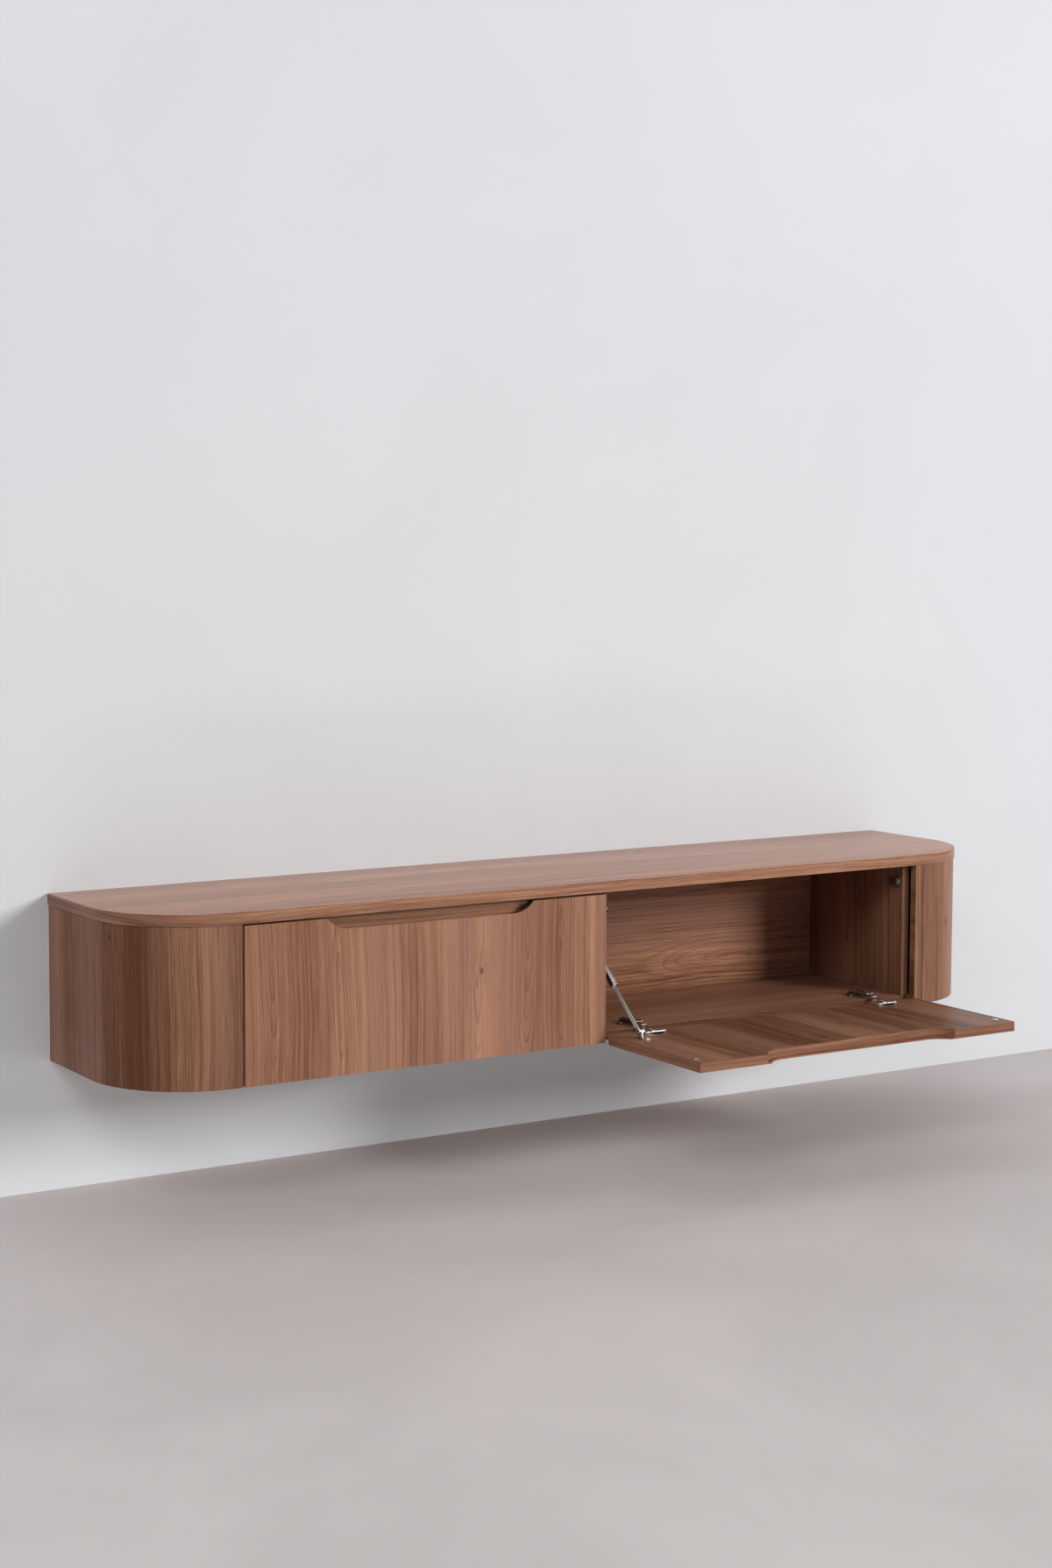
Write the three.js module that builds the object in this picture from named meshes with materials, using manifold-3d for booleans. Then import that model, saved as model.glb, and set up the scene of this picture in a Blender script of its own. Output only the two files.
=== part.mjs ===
// Wall-hung media console with D-shaped ends and two drop-down flaps.
// Millimetres, +Z up, +X to the viewer's right, the front faces -Y.
// Origin: middle of the wall rail's rear face, in the plane of the wall.
import * as THREE from 'three';
import { mergeVertices } from 'three/addons/utils/BufferGeometryUtils.js';
import Module from 'manifold-3d';

const wasm = await Module();
wasm.setup();

// Overall sizes
const WIDTH = 2000;           // across the top panel
const DEPTH = 386;            // wall to the front edge of the top panel
const HEIGHT = 316;           // underside to the top face
const CORNER_R = 192;         // front corners of the top panel
const OVERHANG = 2;           // top panel past the ends and doors
const TOP_T = 22;             // top panel
const JOINT_GAP = 0.3;        // between pieces that are fitted to each other
const CUT_OVERRUN = 1;        // how far a cut runs past its piece

// Case
const BOTTOM_T = 18;
const END_T = 16;             // bent end panels
const END_FLAT = 21;          // straight run of a bent end after its curve
const WALL_T = 18;            // partitions and divider
const BACK_T = 12;            // back panels
const SERVICE_DEPTH = 58;     // cable space between back panels and wall
const CURVE_STEPS = 24;       // facets of a rounded corner

// Flaps
const FLAP_T = 19;
const FLAP_GAP = 4;           // above a flap, beside it and between the two
const CASE_GAP = 2;           // flap's inner face to the case's front edges
const AXIS_AHEAD = 0.5;       // hinge axis in front of the closed flap's face
const AXIS_BELOW = 4.5;       // hinge axis under the closed flap's lower edge
const OPEN_ANGLE = Math.PI / 2;

// Finger scoop in a flap's upper edge
const SCOOP_LENGTH = 446;
const SCOOP_DEPTH = 21;       // at the outer face
const SCOOP_RUN = 45;         // width of each curved end
const POCKET_LENGTH = 466;    // the deeper cut from the inner face
const POCKET_DEPTH = 31;
const POCKET_RUN = 52;
const LIP_T = 3;              // what the deeper cut leaves at the outer face
const SCOOP_STEPS = 8;

// Rail behind the closed flap's scoop
const RAIL_HEIGHT = 46;
const RAIL_T = 18;
const RAIL_SETBACK = 3;       // behind the case's front edges
const RAIL_END_GAP = 3;       // between its ends and the catches beside them

// Concealed hinges
const HINGE_INSET = 95;       // from each end of a flap
const PLATE_LENGTH = 42;
const PLATE_WIDTH = 46;
const PLATE_T = 3;
const PLATE_SETBACK = 24;     // behind the case's front edge
const ARM_WIDTH = 14;
const ARM_LENGTH = 62;
const ARM_HEIGHT = 8;
const KNUCKLE_R = 4.2;
const KNUCKLE_BEHIND = 28;    // knuckle pin behind the flap's axis
const KNUCKLE_ABOVE = 32;     // and above it, flap open
const KNUCKLE_PIN_R = 2;
const PIN_CLEARANCE = 0.3;
const PIN_PROUD = 0.8;        // pin past each ear
const LINK_WIDTH = 6;
const LINK_HEIGHT = 5;
const LINK_LENGTH = 49.6;     // knuckle pin to the link's tip
const LINK_SIDE_GAP = 0.4;
const LINK_DROOP = 13.2 * Math.PI / 180;
const LINK_TURN = Math.PI / 2 + LINK_DROOP;
const CUP_R = 17.5;
const CUP_DEPTH = 11.5;
const CUP_WALL = 1;
const CUP_CENTRE = 22.5;      // from the flap's lower edge
const CUP_SEAT_GAP = 0.3;
const FLANGE_LENGTH = 58;
const FLANGE_WIDTH = 19;
const FLANGE_T = 1.2;
const CUP_STEPS = 32;
const PIN_STEPS = 16;

// Lid stay: a sleeve that turns on the case and a rod that slides in it
const STAY_INSET = 30;        // stay's middle from a flap's left end
const STAY_PIVOT_BEHIND = 114; // sleeve pivot behind the flap's axis
const STAY_PIVOT_ABOVE = 194; // and above it
const STAY_FOOT_AHEAD = 62;   // rod's lower eye ahead of the axis, flap open
const STAY_FOOT_ABOVE = 34;
const STAY_SWING = 9 * Math.PI / 180;
const STAY_TRAVEL = 98;
const SLEEVE_LENGTH = 126;
const SLEEVE_WIDTH = 13;
const SLEEVE_T = 9;
const SLEEVE_EYE_R = 8;
const SLEEVE_SOLID = 13;      // from the pivot to the bore's blind end
const ROD_WIDTH = 8.4;
const ROD_T = 4.4;
const ROD_SLOT = 3;
const ROD_EYE_R = 5;
const ROD_CLEARANCE = 0.35;
const ROD_LAP = 13;           // rod left in the sleeve, flap open
const STUD_R = 3.2;
const STUD_HEAD_R = 5.5;
const STUD_HEAD_T = 1.6;
const STAY_PLATE_HEIGHT = 46;
const STAY_PLATE_WIDTH = 20;
const STAY_PLATE_T = 2.5;
const FOOT_LENGTH = 34;
const FOOT_WIDTH = 16;
const FOOT_T = 2;
const FOOT_EAR_T = 2.4;
const FOOT_STUD_R = 2.4;
const FOOT_PLAY = 0.6;        // rod's lower eye beside the foot's ear

// Magnetic catches and their strike plates
const CATCH_WIDTH = 13;
const CATCH_DEPTH = 22;
const CATCH_HEIGHT = 15;
const CATCH_DROP = 36;        // catch's middle under the top panel
const CATCH_SETBACK = 3;
const STRIKE_SIZE = 13;
const STRIKE_T = 1;

// Wall hanging
const HANG_CLEARANCE = 11;    // hangers' top edge under the top panel
const WALL_RAIL_LENGTH = 1620;
const WALL_RAIL_HEIGHT = 40;
const WALL_RAIL_T = 2.5;
const HOOK_STEP = 8;          // rail's upper lip out from the wall
const HOOK_RISE = 10;
const HANGER_WIDTH = 34;
const HANGER_DROP = 30;       // hanger's plate below the hook's lip
const HANGER_T = 2.5;
const HOOK_PLAY = 0.5;

// Places that follow from the sizes
const faceY = -(DEPTH - OVERHANG);            // closed flap's outer face
const caseFrontY = faceY + FLAP_T + CASE_GAP; // front edges inside the flaps
const endHalf = WIDTH / 2 - OVERHANG;
const endR = CORNER_R - OVERHANG;
const endFrontX = endHalf - endR - END_FLAT;  // where a bent end stops
const topZ = HEIGHT - TOP_T;
const floorZ = BOTTOM_T;
const flapHeight = topZ - FLAP_GAP;
const flapOuterX = endFrontX - FLAP_GAP;
const flapWidth = flapOuterX - FLAP_GAP / 2;
const axisY = faceY - AXIS_AHEAD;
const axisZ = -AXIS_BELOW;
const backFrontY = -(SERVICE_DEPTH + BACK_T);
const backRearY = -SERVICE_DEPTH;
const partitionX = endFrontX - WALL_T / 2;
const innerTopZ = topZ - JOINT_GAP;
const hangHeight = topZ - HANG_CLEARANCE - HANGER_T - HOOK_PLAY - HOOK_RISE
  - WALL_RAIL_HEIGHT / 2;                     // wall rail's middle above the underside

function paint(color, roughness, metalness) {
  return new THREE.MeshStandardMaterial({ color, roughness, metalness });
}
const WALNUT = 0x8a6450;
const WALNUT_TOP = 0x9c7a66;
const WALNUT_DARK = 0x6d4a38;
const NICKEL = 0xc9c7c3;
const STEEL = 0x8f9194;

const console_ = new THREE.Group();
const body = new THREE.Group();
body.position.set(0, 0, -hangHeight);
console_.add(body);

function place(name, geometry, material, parent = body) {
  const mesh = new THREE.Mesh(geometry, material);
  mesh.name = name;
  parent.add(mesh);
  return mesh;
}

// A box from its low corner to its high corner
function block(lo, hi) {
  const size = hi.map((v, i) => v - lo[i]);
  const geometry = new THREE.BoxGeometry(...size);
  geometry.translate(...lo.map((v, i) => v + size[i] / 2));
  return geometry;
}

// An outline in X and Y, extruded upwards from z
function upright(shape, z, height, steps = CURVE_STEPS) {
  const geometry = new THREE.ExtrudeGeometry(shape,
    { depth: height, bevelEnabled: false, curveSegments: steps });
  geometry.translate(0, 0, z);
  return geometry;
}

// An outline in Y and Z, extruded along X from x
function sideways(shape, x, width, steps = PIN_STEPS) {
  const geometry = new THREE.ExtrudeGeometry(shape,
    { depth: width, bevelEnabled: false, curveSegments: steps });
  // outline x -> Y, outline y -> Z, depth -> X
  geometry.applyMatrix4(new THREE.Matrix4().set(
    0, 0, 1, x,
    1, 0, 0, 0,
    0, 1, 0, 0,
    0, 0, 0, 1));
  return geometry;
}

// An outline in X and Z, extruded along Y from y towards the back
function frontal(shape, y, depth, steps = SCOOP_STEPS) {
  const geometry = new THREE.ExtrudeGeometry(shape,
    { depth, bevelEnabled: false, curveSegments: steps });
  // outline x -> X, outline y -> Z, depth -> -Y, then moved back
  geometry.applyMatrix4(new THREE.Matrix4().set(
    1, 0, 0, 0,
    0, 0, -1, y + depth,
    0, 1, 0, 0,
    0, 0, 0, 1));
  return geometry;
}

function polygon(points) {
  return new THREE.Shape(points.map(([x, y]) => new THREE.Vector2(x, y)));
}

function withHole(shape, x, y, r) {
  const hole = new THREE.Path();
  hole.absarc(x, y, r, 0, 2 * Math.PI, true);
  shape.holes.push(hole);
  return shape;
}

function rodAlongX(r, x, length, y, z, steps = PIN_STEPS) {
  const geometry = new THREE.CylinderGeometry(r, r, length, steps);
  geometry.rotateZ(Math.PI / 2);
  geometry.translate(x + length / 2, y, z);
  return geometry;
}

function toSolid(geometry) {
  const bare = geometry.clone();
  for (const key of Object.keys(bare.attributes)) {
    if (key !== 'position') bare.deleteAttribute(key);
  }
  const merged = mergeVertices(bare);
  const vertProperties = new Float32Array(merged.attributes.position.array);
  const triVerts = new Uint32Array(merged.index.array);
  return new wasm.Manifold(new wasm.Mesh({ numProp: 3, vertProperties, triVerts }));
}

function toGeometry(solid) {
  const { vertProperties, triVerts, numProp } = solid.getMesh();
  const positions = new Float32Array(triVerts.length * 3);
  triVerts.forEach((v, i) => {
    for (let k = 0; k < 3; k++) positions[3 * i + k] = vertProperties[numProp * v + k];
  });
  const geometry = new THREE.BufferGeometry();
  geometry.setAttribute('position', new THREE.BufferAttribute(positions, 3));
  geometry.computeVertexNormals();
  return geometry;
}

function cut(geometry, ...tools) {
  return toGeometry(tools.reduce((s, t) => s.subtract(toSolid(t)), toSolid(geometry)));
}

function join(geometry, ...more) {
  return toGeometry(more.reduce((s, t) => s.add(toSolid(t)), toSolid(geometry)));
}

// D-shaped outline: square at the back, rounded at the front corners
function dShape(half, rearY, frontY, r) {
  const s = new THREE.Shape();
  s.moveTo(half, rearY);
  s.lineTo(-half, rearY);
  s.lineTo(-half, frontY + r);
  s.absarc(-half + r, frontY + r, r, Math.PI, 1.5 * Math.PI, false);
  s.lineTo(half - r, frontY);
  s.absarc(half - r, frontY + r, r, 1.5 * Math.PI, 2 * Math.PI, false);
  s.closePath();
  return s;
}

place('top_panel', upright(dShape(WIDTH / 2, 0, -DEPTH, CORNER_R), topZ, TOP_T),
  paint(WALNUT_TOP, 0.5, 0));

// The bottom lies inside the bent ends; between them its front edge is straight
{
  const half = endHalf - END_T - JOINT_GAP;
  const r = endR - END_T - JOINT_GAP;
  const frontY = faceY + END_T + JOINT_GAP;
  const lid = upright(dShape(half, backRearY, frontY, r), 0, BOTTOM_T);
  const front = block(
    [-endFrontX, frontY - CUT_OVERRUN, -CUT_OVERRUN],
    [endFrontX, caseFrontY, BOTTOM_T + CUT_OVERRUN]);
  place('bottom_panel', cut(lid, front), paint(WALNUT, 0.55, 0));
}

// Bent end panel, drawn for the right and mirrored for the left
function endOutline(side) {
  const s = new THREE.Shape();
  const inner = endHalf - END_T;
  const innerR = endR - END_T;
  const cx = endHalf - endR;
  const cy = faceY + endR;
  const arc = (r, a0, a1) => {
    const pts = [];
    for (let i = 0; i <= CURVE_STEPS; i++) {
      const a = a0 + (a1 - a0) * i / CURVE_STEPS;
      pts.push([cx + r * Math.cos(a), cy + r * Math.sin(a)]);
    }
    return pts;
  };
  const points = [
    [inner, 0],
    ...arc(innerR, 0, -Math.PI / 2),
    [endFrontX, faceY + END_T],
    [endFrontX, faceY],
    ...arc(endR, -Math.PI / 2, 0),
    [endHalf, 0],
  ].map(([x, y]) => [side * x, y]);
  points.forEach(([x, y], i) => (i ? s.lineTo(x, y) : s.moveTo(x, y)));
  s.closePath();
  return s;
}
for (const [name, side] of [['left_curved_end', -1], ['right_curved_end', 1]]) {
  place(name, upright(endOutline(side), 0, innerTopZ), paint(WALNUT_DARK, 0.55, 0));
}

// Partitions, divider, back panels
const walls = [
  ['left_partition', -partitionX],
  ['centre_divider', 0],
  ['right_partition', partitionX],
];
for (const [name, x] of walls) {
  place(name, block(
    [x - WALL_T / 2, caseFrontY, floorZ + JOINT_GAP],
    [x + WALL_T / 2, backRearY, innerTopZ]), paint(WALNUT_DARK, 0.6, 0));
}
const bays = [
  ['left', -(partitionX - WALL_T / 2), -WALL_T / 2],
  ['right', WALL_T / 2, partitionX - WALL_T / 2],
];
for (const [side, x0, x1] of bays) {
  place(`${side}_back_panel`, block(
    [x0 + JOINT_GAP, backFrontY, floorZ + JOINT_GAP],
    [x1 - JOINT_GAP, backRearY, innerTopZ]), paint(WALNUT, 0.6, 0));
}

// The hollow ends are closed at the back as well
for (const [side, sign] of [['left', -1], ['right', 1]]) {
  const xs = [endFrontX + JOINT_GAP, endHalf - END_T - JOINT_GAP].map((x) => sign * x);
  place(`${side}_end_back`, block(
    [Math.min(...xs), backFrontY, floorZ + JOINT_GAP],
    [Math.max(...xs), backRearY, innerTopZ]), paint(WALNUT, 0.6, 0));
}

// Rail seen through the scoop of the closed flap
{
  const [, x0, x1] = bays[0];
  const y0 = caseFrontY + RAIL_SETBACK;
  const inset = JOINT_GAP + CATCH_WIDTH + RAIL_END_GAP;
  place('left_front_rail', block(
    [x0 + inset, y0, innerTopZ - RAIL_HEIGHT],
    [x1 - inset, y0 + RAIL_T, innerTopZ]), paint(WALNUT, 0.6, 0));
}

// Outline of a cut into an upper edge: flat bottom and arcs at the ends
function scoopShape(length, depth, run, edgeZ) {
  const r = (run * run + depth * depth) / (2 * depth);
  const sweep = Math.asin(run / r);
  const flat = length / 2 - run;
  const s = new THREE.Shape();
  const bottom = edgeZ - depth;
  s.moveTo(-length / 2, edgeZ + CUT_OVERRUN);
  s.lineTo(-length / 2, edgeZ);
  for (let i = 1; i <= SCOOP_STEPS; i++) {
    const a = sweep * (1 - i / SCOOP_STEPS);
    s.lineTo(-flat - r * Math.sin(a), bottom + r - r * Math.cos(a));
  }
  for (let i = 0; i <= SCOOP_STEPS; i++) {
    const a = sweep * i / SCOOP_STEPS;
    s.lineTo(flat + r * Math.sin(a), bottom + r - r * Math.cos(a));
  }
  s.lineTo(length / 2, edgeZ + CUT_OVERRUN);
  s.closePath();
  return s;
}

// Everything that swings with a flap is drawn in the open position, about the
// hinge axis at the group's origin: +Y is back to the case, the flap's inner
// face looks up, and its upper edge points to -Y.
const innerUp = FLAP_T + AXIS_AHEAD;         // inner face above the axis, open
const outerUp = AXIS_AHEAD;                  // and the outer face
const edgeNear = -AXIS_BELOW;                // hinge-side edge, flap open

function flapGeometry(hinges) {
  // drawn upright (X, Z outline, outer face at y = 0), then laid open
  const half = flapWidth / 2;
  let geometry = block([-half, 0, 0], [half, FLAP_T, flapHeight]);
  const through = frontal(
    scoopShape(SCOOP_LENGTH, SCOOP_DEPTH, SCOOP_RUN, flapHeight),
    -CUT_OVERRUN, FLAP_T + 2 * CUT_OVERRUN);
  const pocket = frontal(
    scoopShape(POCKET_LENGTH, POCKET_DEPTH, POCKET_RUN, flapHeight),
    LIP_T, FLAP_T - LIP_T + CUT_OVERRUN);
  const bores = hinges.map((x) => {
    const bore = new THREE.CylinderGeometry(CUP_R + CUP_SEAT_GAP, CUP_R + CUP_SEAT_GAP,
      CUP_DEPTH + CUP_SEAT_GAP + CUT_OVERRUN, CUP_STEPS);
    bore.translate(x, FLAP_T + (CUT_OVERRUN - CUP_DEPTH - CUP_SEAT_GAP) / 2, CUP_CENTRE);
    return bore;
  });
  geometry = cut(geometry, through, pocket, ...bores);
  // upright (y, z) -> open (-z, y), then to its place about the axis
  geometry.applyMatrix4(new THREE.Matrix4().set(
    1, 0, 0, 0,
    0, 0, -1, edgeNear,
    0, 1, 0, outerUp,
    0, 0, 0, 1));
  return geometry;
}

// Cup, its flange and its open hollow; the flange lies on the inner face
function cupGeometry(x) {
  const y = edgeNear - CUP_CENTRE;
  const rim = innerUp + CUP_SEAT_GAP;
  const outer = new THREE.CylinderGeometry(CUP_R, CUP_R, CUP_DEPTH, CUP_STEPS);
  outer.rotateX(Math.PI / 2);
  outer.translate(x, y, rim - CUP_DEPTH / 2);
  const flange = block(
    [x - FLANGE_LENGTH / 2, y - FLANGE_WIDTH / 2, rim],
    [x + FLANGE_LENGTH / 2, y + FLANGE_WIDTH / 2, rim + FLANGE_T]);
  const hollowDepth = CUP_DEPTH - CUP_WALL + FLANGE_T + CUT_OVERRUN;
  const hollow = new THREE.CylinderGeometry(CUP_R - CUP_WALL, CUP_R - CUP_WALL,
    hollowDepth, CUP_STEPS);
  hollow.rotateX(Math.PI / 2);
  hollow.translate(x, y, rim - CUP_DEPTH + CUP_WALL + hollowDepth / 2);
  return cut(join(outer, flange), hollow);
}

// Arm on the case: a bar with a slotted knuckle at its front
function armGeometry(x) {
  const py = KNUCKLE_BEHIND;
  const pz = KNUCKLE_ABOVE;
  const low = floorZ - axisZ + JOINT_GAP + PLATE_T + JOINT_GAP;
  const rear = py - KNUCKLE_R + ARM_LENGTH;
  const s = new THREE.Shape();
  s.moveTo(py - KNUCKLE_R, low);
  s.lineTo(rear, low);
  s.lineTo(rear, low + ARM_HEIGHT / 2);
  s.lineTo(rear - ARM_LENGTH / 3, low + ARM_HEIGHT);
  s.lineTo(py + KNUCKLE_R * 2, low + ARM_HEIGHT);
  s.absarc(py, pz, KNUCKLE_R, Math.PI / 2, Math.PI, false);
  s.closePath();
  withHole(s, py, pz, KNUCKLE_PIN_R + PIN_CLEARANCE);
  const slotHalf = LINK_WIDTH / 2 + LINK_SIDE_GAP;
  const slot = block(
    [x - slotHalf, py - KNUCKLE_R - CUT_OVERRUN, low - CUT_OVERRUN],
    [x + slotHalf, py + KNUCKLE_R + LINK_SIDE_GAP, pz + KNUCKLE_R + CUT_OVERRUN]);
  return cut(sideways(s, x - ARM_WIDTH / 2, ARM_WIDTH), slot);
}

// Link, drawn along -Y from its pin at the origin
function linkGeometry(x) {
  const h = LINK_HEIGHT / 2;
  const s = new THREE.Shape();
  s.moveTo(0, -h);
  s.absarc(0, 0, h + PIN_CLEARANCE, -Math.PI / 2, Math.PI / 2, false);
  s.lineTo(-LINK_LENGTH + h, h);
  s.absarc(-LINK_LENGTH + h, 0, h, Math.PI / 2, 1.5 * Math.PI, false);
  s.closePath();
  withHole(s, 0, 0, KNUCKLE_PIN_R + PIN_CLEARANCE);
  return sideways(s, x - LINK_WIDTH / 2, LINK_WIDTH);
}

// Sleeve, drawn along -Y from its pivot at the origin, open at its far end
function sleeveGeometry(x) {
  const h = SLEEVE_WIDTH / 2;
  const s = new THREE.Shape();
  s.moveTo(0, -SLEEVE_EYE_R);
  s.absarc(0, 0, SLEEVE_EYE_R, -Math.PI / 2, Math.PI / 2, false);
  s.lineTo(-SLEEVE_EYE_R, h);
  s.lineTo(-SLEEVE_LENGTH, h);
  s.lineTo(-SLEEVE_LENGTH, -h);
  s.lineTo(-SLEEVE_EYE_R, -h);
  s.closePath();
  withHole(s, 0, 0, STUD_R + PIN_CLEARANCE);
  const bh = ROD_WIDTH / 2 + ROD_CLEARANCE;
  const bt = ROD_T / 2 + ROD_CLEARANCE;
  const bore = block(
    [x - bt, -SLEEVE_LENGTH - CUT_OVERRUN, -bh],
    [x + bt, -SLEEVE_SOLID, bh]);
  return cut(sideways(s, x - SLEEVE_T / 2, SLEEVE_T), bore);
}

// Distance from the sleeve's pivot to the rod's lower eye with the flap open
const stayRise = STAY_PIVOT_ABOVE - STAY_FOOT_ABOVE;
const stayOut = STAY_PIVOT_BEHIND + STAY_FOOT_AHEAD;
const stayLength = Math.hypot(stayRise, stayOut);
const stayAngle = Math.atan2(stayRise, stayOut);

// Rod, two bars side by side with a closed top and an eye, along -Y
function rodGeometry(x) {
  const h = ROD_WIDTH / 2;
  const top = -(SLEEVE_LENGTH - ROD_LAP);
  const s = new THREE.Shape();
  s.moveTo(top, -h);
  s.lineTo(top, h);
  s.lineTo(-stayLength + ROD_EYE_R, h);
  s.absarc(-stayLength, 0, ROD_EYE_R, Math.PI / 3, 5 * Math.PI / 3, false);
  s.lineTo(-stayLength + ROD_EYE_R, -h);
  s.closePath();
  const slot = polygon([
    [top - ROD_EYE_R, -ROD_SLOT / 2],
    [-stayLength + 2 * ROD_EYE_R, -ROD_SLOT / 2],
    [-stayLength + 2 * ROD_EYE_R, ROD_SLOT / 2],
    [top - ROD_EYE_R, ROD_SLOT / 2],
  ]);
  s.holes.push(slot);
  return sideways(s, x - ROD_T / 2, ROD_T);
}

// One bay's moving set; open says how it stands at rest
function flapSet([side, wallLeft, wallRight], centreX, open) {
  const metal = () => paint(NICKEL, 0.25, 1);
  const left = -flapWidth / 2;
  const hinges = [
    ['left', left + HINGE_INSET],
    ['right', flapWidth / 2 - HINGE_INSET],
  ];
  const bay = new THREE.Group();
  bay.position.set(centreX, axisY, axisZ);
  body.add(bay);
  const swing = new THREE.Group();
  swing.rotation.x = open ? 0 : -OPEN_ANGLE;
  bay.add(swing);

  place(`${side}_flap`, flapGeometry(hinges.map((h) => h[1])),
    paint(WALNUT, 0.5, 0), swing);

  const floorUp = floorZ - axisZ + JOINT_GAP;
  const caseFront = caseFrontY - axisY;
  for (const [end, x] of hinges) {
    const tag = `${side}_flap_${end}_hinge`;
    place(`${tag}_cup`, cupGeometry(x), metal(), swing);
    const plateY = caseFront + PLATE_SETBACK;
    place(`${tag}_plate`, block(
      [x - PLATE_WIDTH / 2, plateY, floorUp],
      [x + PLATE_WIDTH / 2, plateY + PLATE_LENGTH, floorUp + PLATE_T]), metal(), bay);
    place(`${tag}_arm`, armGeometry(x), metal(), bay);
    const link = new THREE.Group();
    link.position.set(0, KNUCKLE_BEHIND, KNUCKLE_ABOVE);
    link.rotation.x = LINK_DROOP - (open ? 0 : LINK_TURN);
    bay.add(link);
    place(`${tag}_link`, linkGeometry(x), metal(), link);
    place(`${tag}_pin`, rodAlongX(KNUCKLE_PIN_R, x - ARM_WIDTH / 2 - PIN_PROUD,
      ARM_WIDTH + 2 * PIN_PROUD, KNUCKLE_BEHIND, KNUCKLE_ABOVE), metal(), bay);
  }

  // Stay
  const sx = left + STAY_INSET;
  const plateX = wallLeft - centreX + JOINT_GAP;
  const stud = rodAlongX(STUD_R, plateX, sx + SLEEVE_T / 2 + JOINT_GAP + STUD_HEAD_T - plateX,
    STAY_PIVOT_BEHIND, STAY_PIVOT_ABOVE);
  const head = rodAlongX(STUD_HEAD_R, sx + SLEEVE_T / 2 + JOINT_GAP, STUD_HEAD_T,
    STAY_PIVOT_BEHIND, STAY_PIVOT_ABOVE);
  const plate = block(
    [plateX, STAY_PIVOT_BEHIND - STAY_PLATE_WIDTH / 2, STAY_PIVOT_ABOVE - STAY_PLATE_HEIGHT / 2],
    [plateX + STAY_PLATE_T, STAY_PIVOT_BEHIND + STAY_PLATE_WIDTH / 2,
      STAY_PIVOT_ABOVE + STAY_PLATE_HEIGHT / 2]);
  place(`${side}_stay_bracket`, join(plate, stud, head), metal(), bay);

  const stay = new THREE.Group();
  stay.position.set(0, STAY_PIVOT_BEHIND, STAY_PIVOT_ABOVE);
  stay.rotation.x = stayAngle + (open ? 0 : STAY_SWING);
  bay.add(stay);
  place(`${side}_stay_sleeve`, sleeveGeometry(sx), paint(STEEL, 0.35, 1), stay);
  const rod = place(`${side}_stay_rod`, rodGeometry(sx), metal(), stay);
  rod.position.y = open ? 0 : STAY_TRAVEL;

  // Foot on the flap: a plate, an ear beside the rod's eye and a stud outwards
  const earX = sx + ROD_T / 2 + FOOT_PLAY;
  const fy = -STAY_FOOT_AHEAD;
  const base = block(
    [earX, fy - FOOT_LENGTH / 2, innerUp + JOINT_GAP],
    [earX + FOOT_WIDTH, fy + FOOT_LENGTH / 2, innerUp + JOINT_GAP + FOOT_T]);
  const ear = block(
    [earX, fy - FOOT_WIDTH / 2, innerUp + JOINT_GAP],
    [earX + FOOT_EAR_T, fy + FOOT_WIDTH / 2, STAY_FOOT_ABOVE + ROD_EYE_R]);
  const knob = rodAlongX(FOOT_STUD_R, earX + FOOT_EAR_T / 2, FOOT_WIDTH / 2, fy, STAY_FOOT_ABOVE);
  place(`${side}_stay_foot`, join(base, ear, knob), metal(), swing);

  // Catches on the walls beside the flap's upper corners, strikes on the flap
  const catchZ = topZ - CATCH_DROP - axisZ;
  const seats = [
    ['left', wallLeft - centreX + JOINT_GAP],
    ['right', wallRight - centreX - JOINT_GAP - CATCH_WIDTH],
  ];
  for (const [end, x0] of seats) {
    const y0 = caseFront + CATCH_SETBACK;
    place(`${side}_${end}_catch`, block(
      [x0, y0, catchZ - CATCH_HEIGHT / 2],
      [x0 + CATCH_WIDTH, y0 + CATCH_DEPTH, catchZ + CATCH_HEIGHT / 2]),
    paint(STEEL, 0.4, 1), bay);
    const xm = x0 + CATCH_WIDTH / 2;
    place(`${side}_${end}_strike`, block(
      [xm - STRIKE_SIZE / 2, -catchZ - STRIKE_SIZE / 2, innerUp + JOINT_GAP],
      [xm + STRIKE_SIZE / 2, -catchZ + STRIKE_SIZE / 2, innerUp + JOINT_GAP + STRIKE_T]),
    metal(), swing);
  }
}
const flapCentre = (FLAP_GAP / 2 + flapOuterX) / 2;
flapSet(bays[0], -flapCentre, false);
flapSet(bays[1], flapCentre, true);

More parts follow.
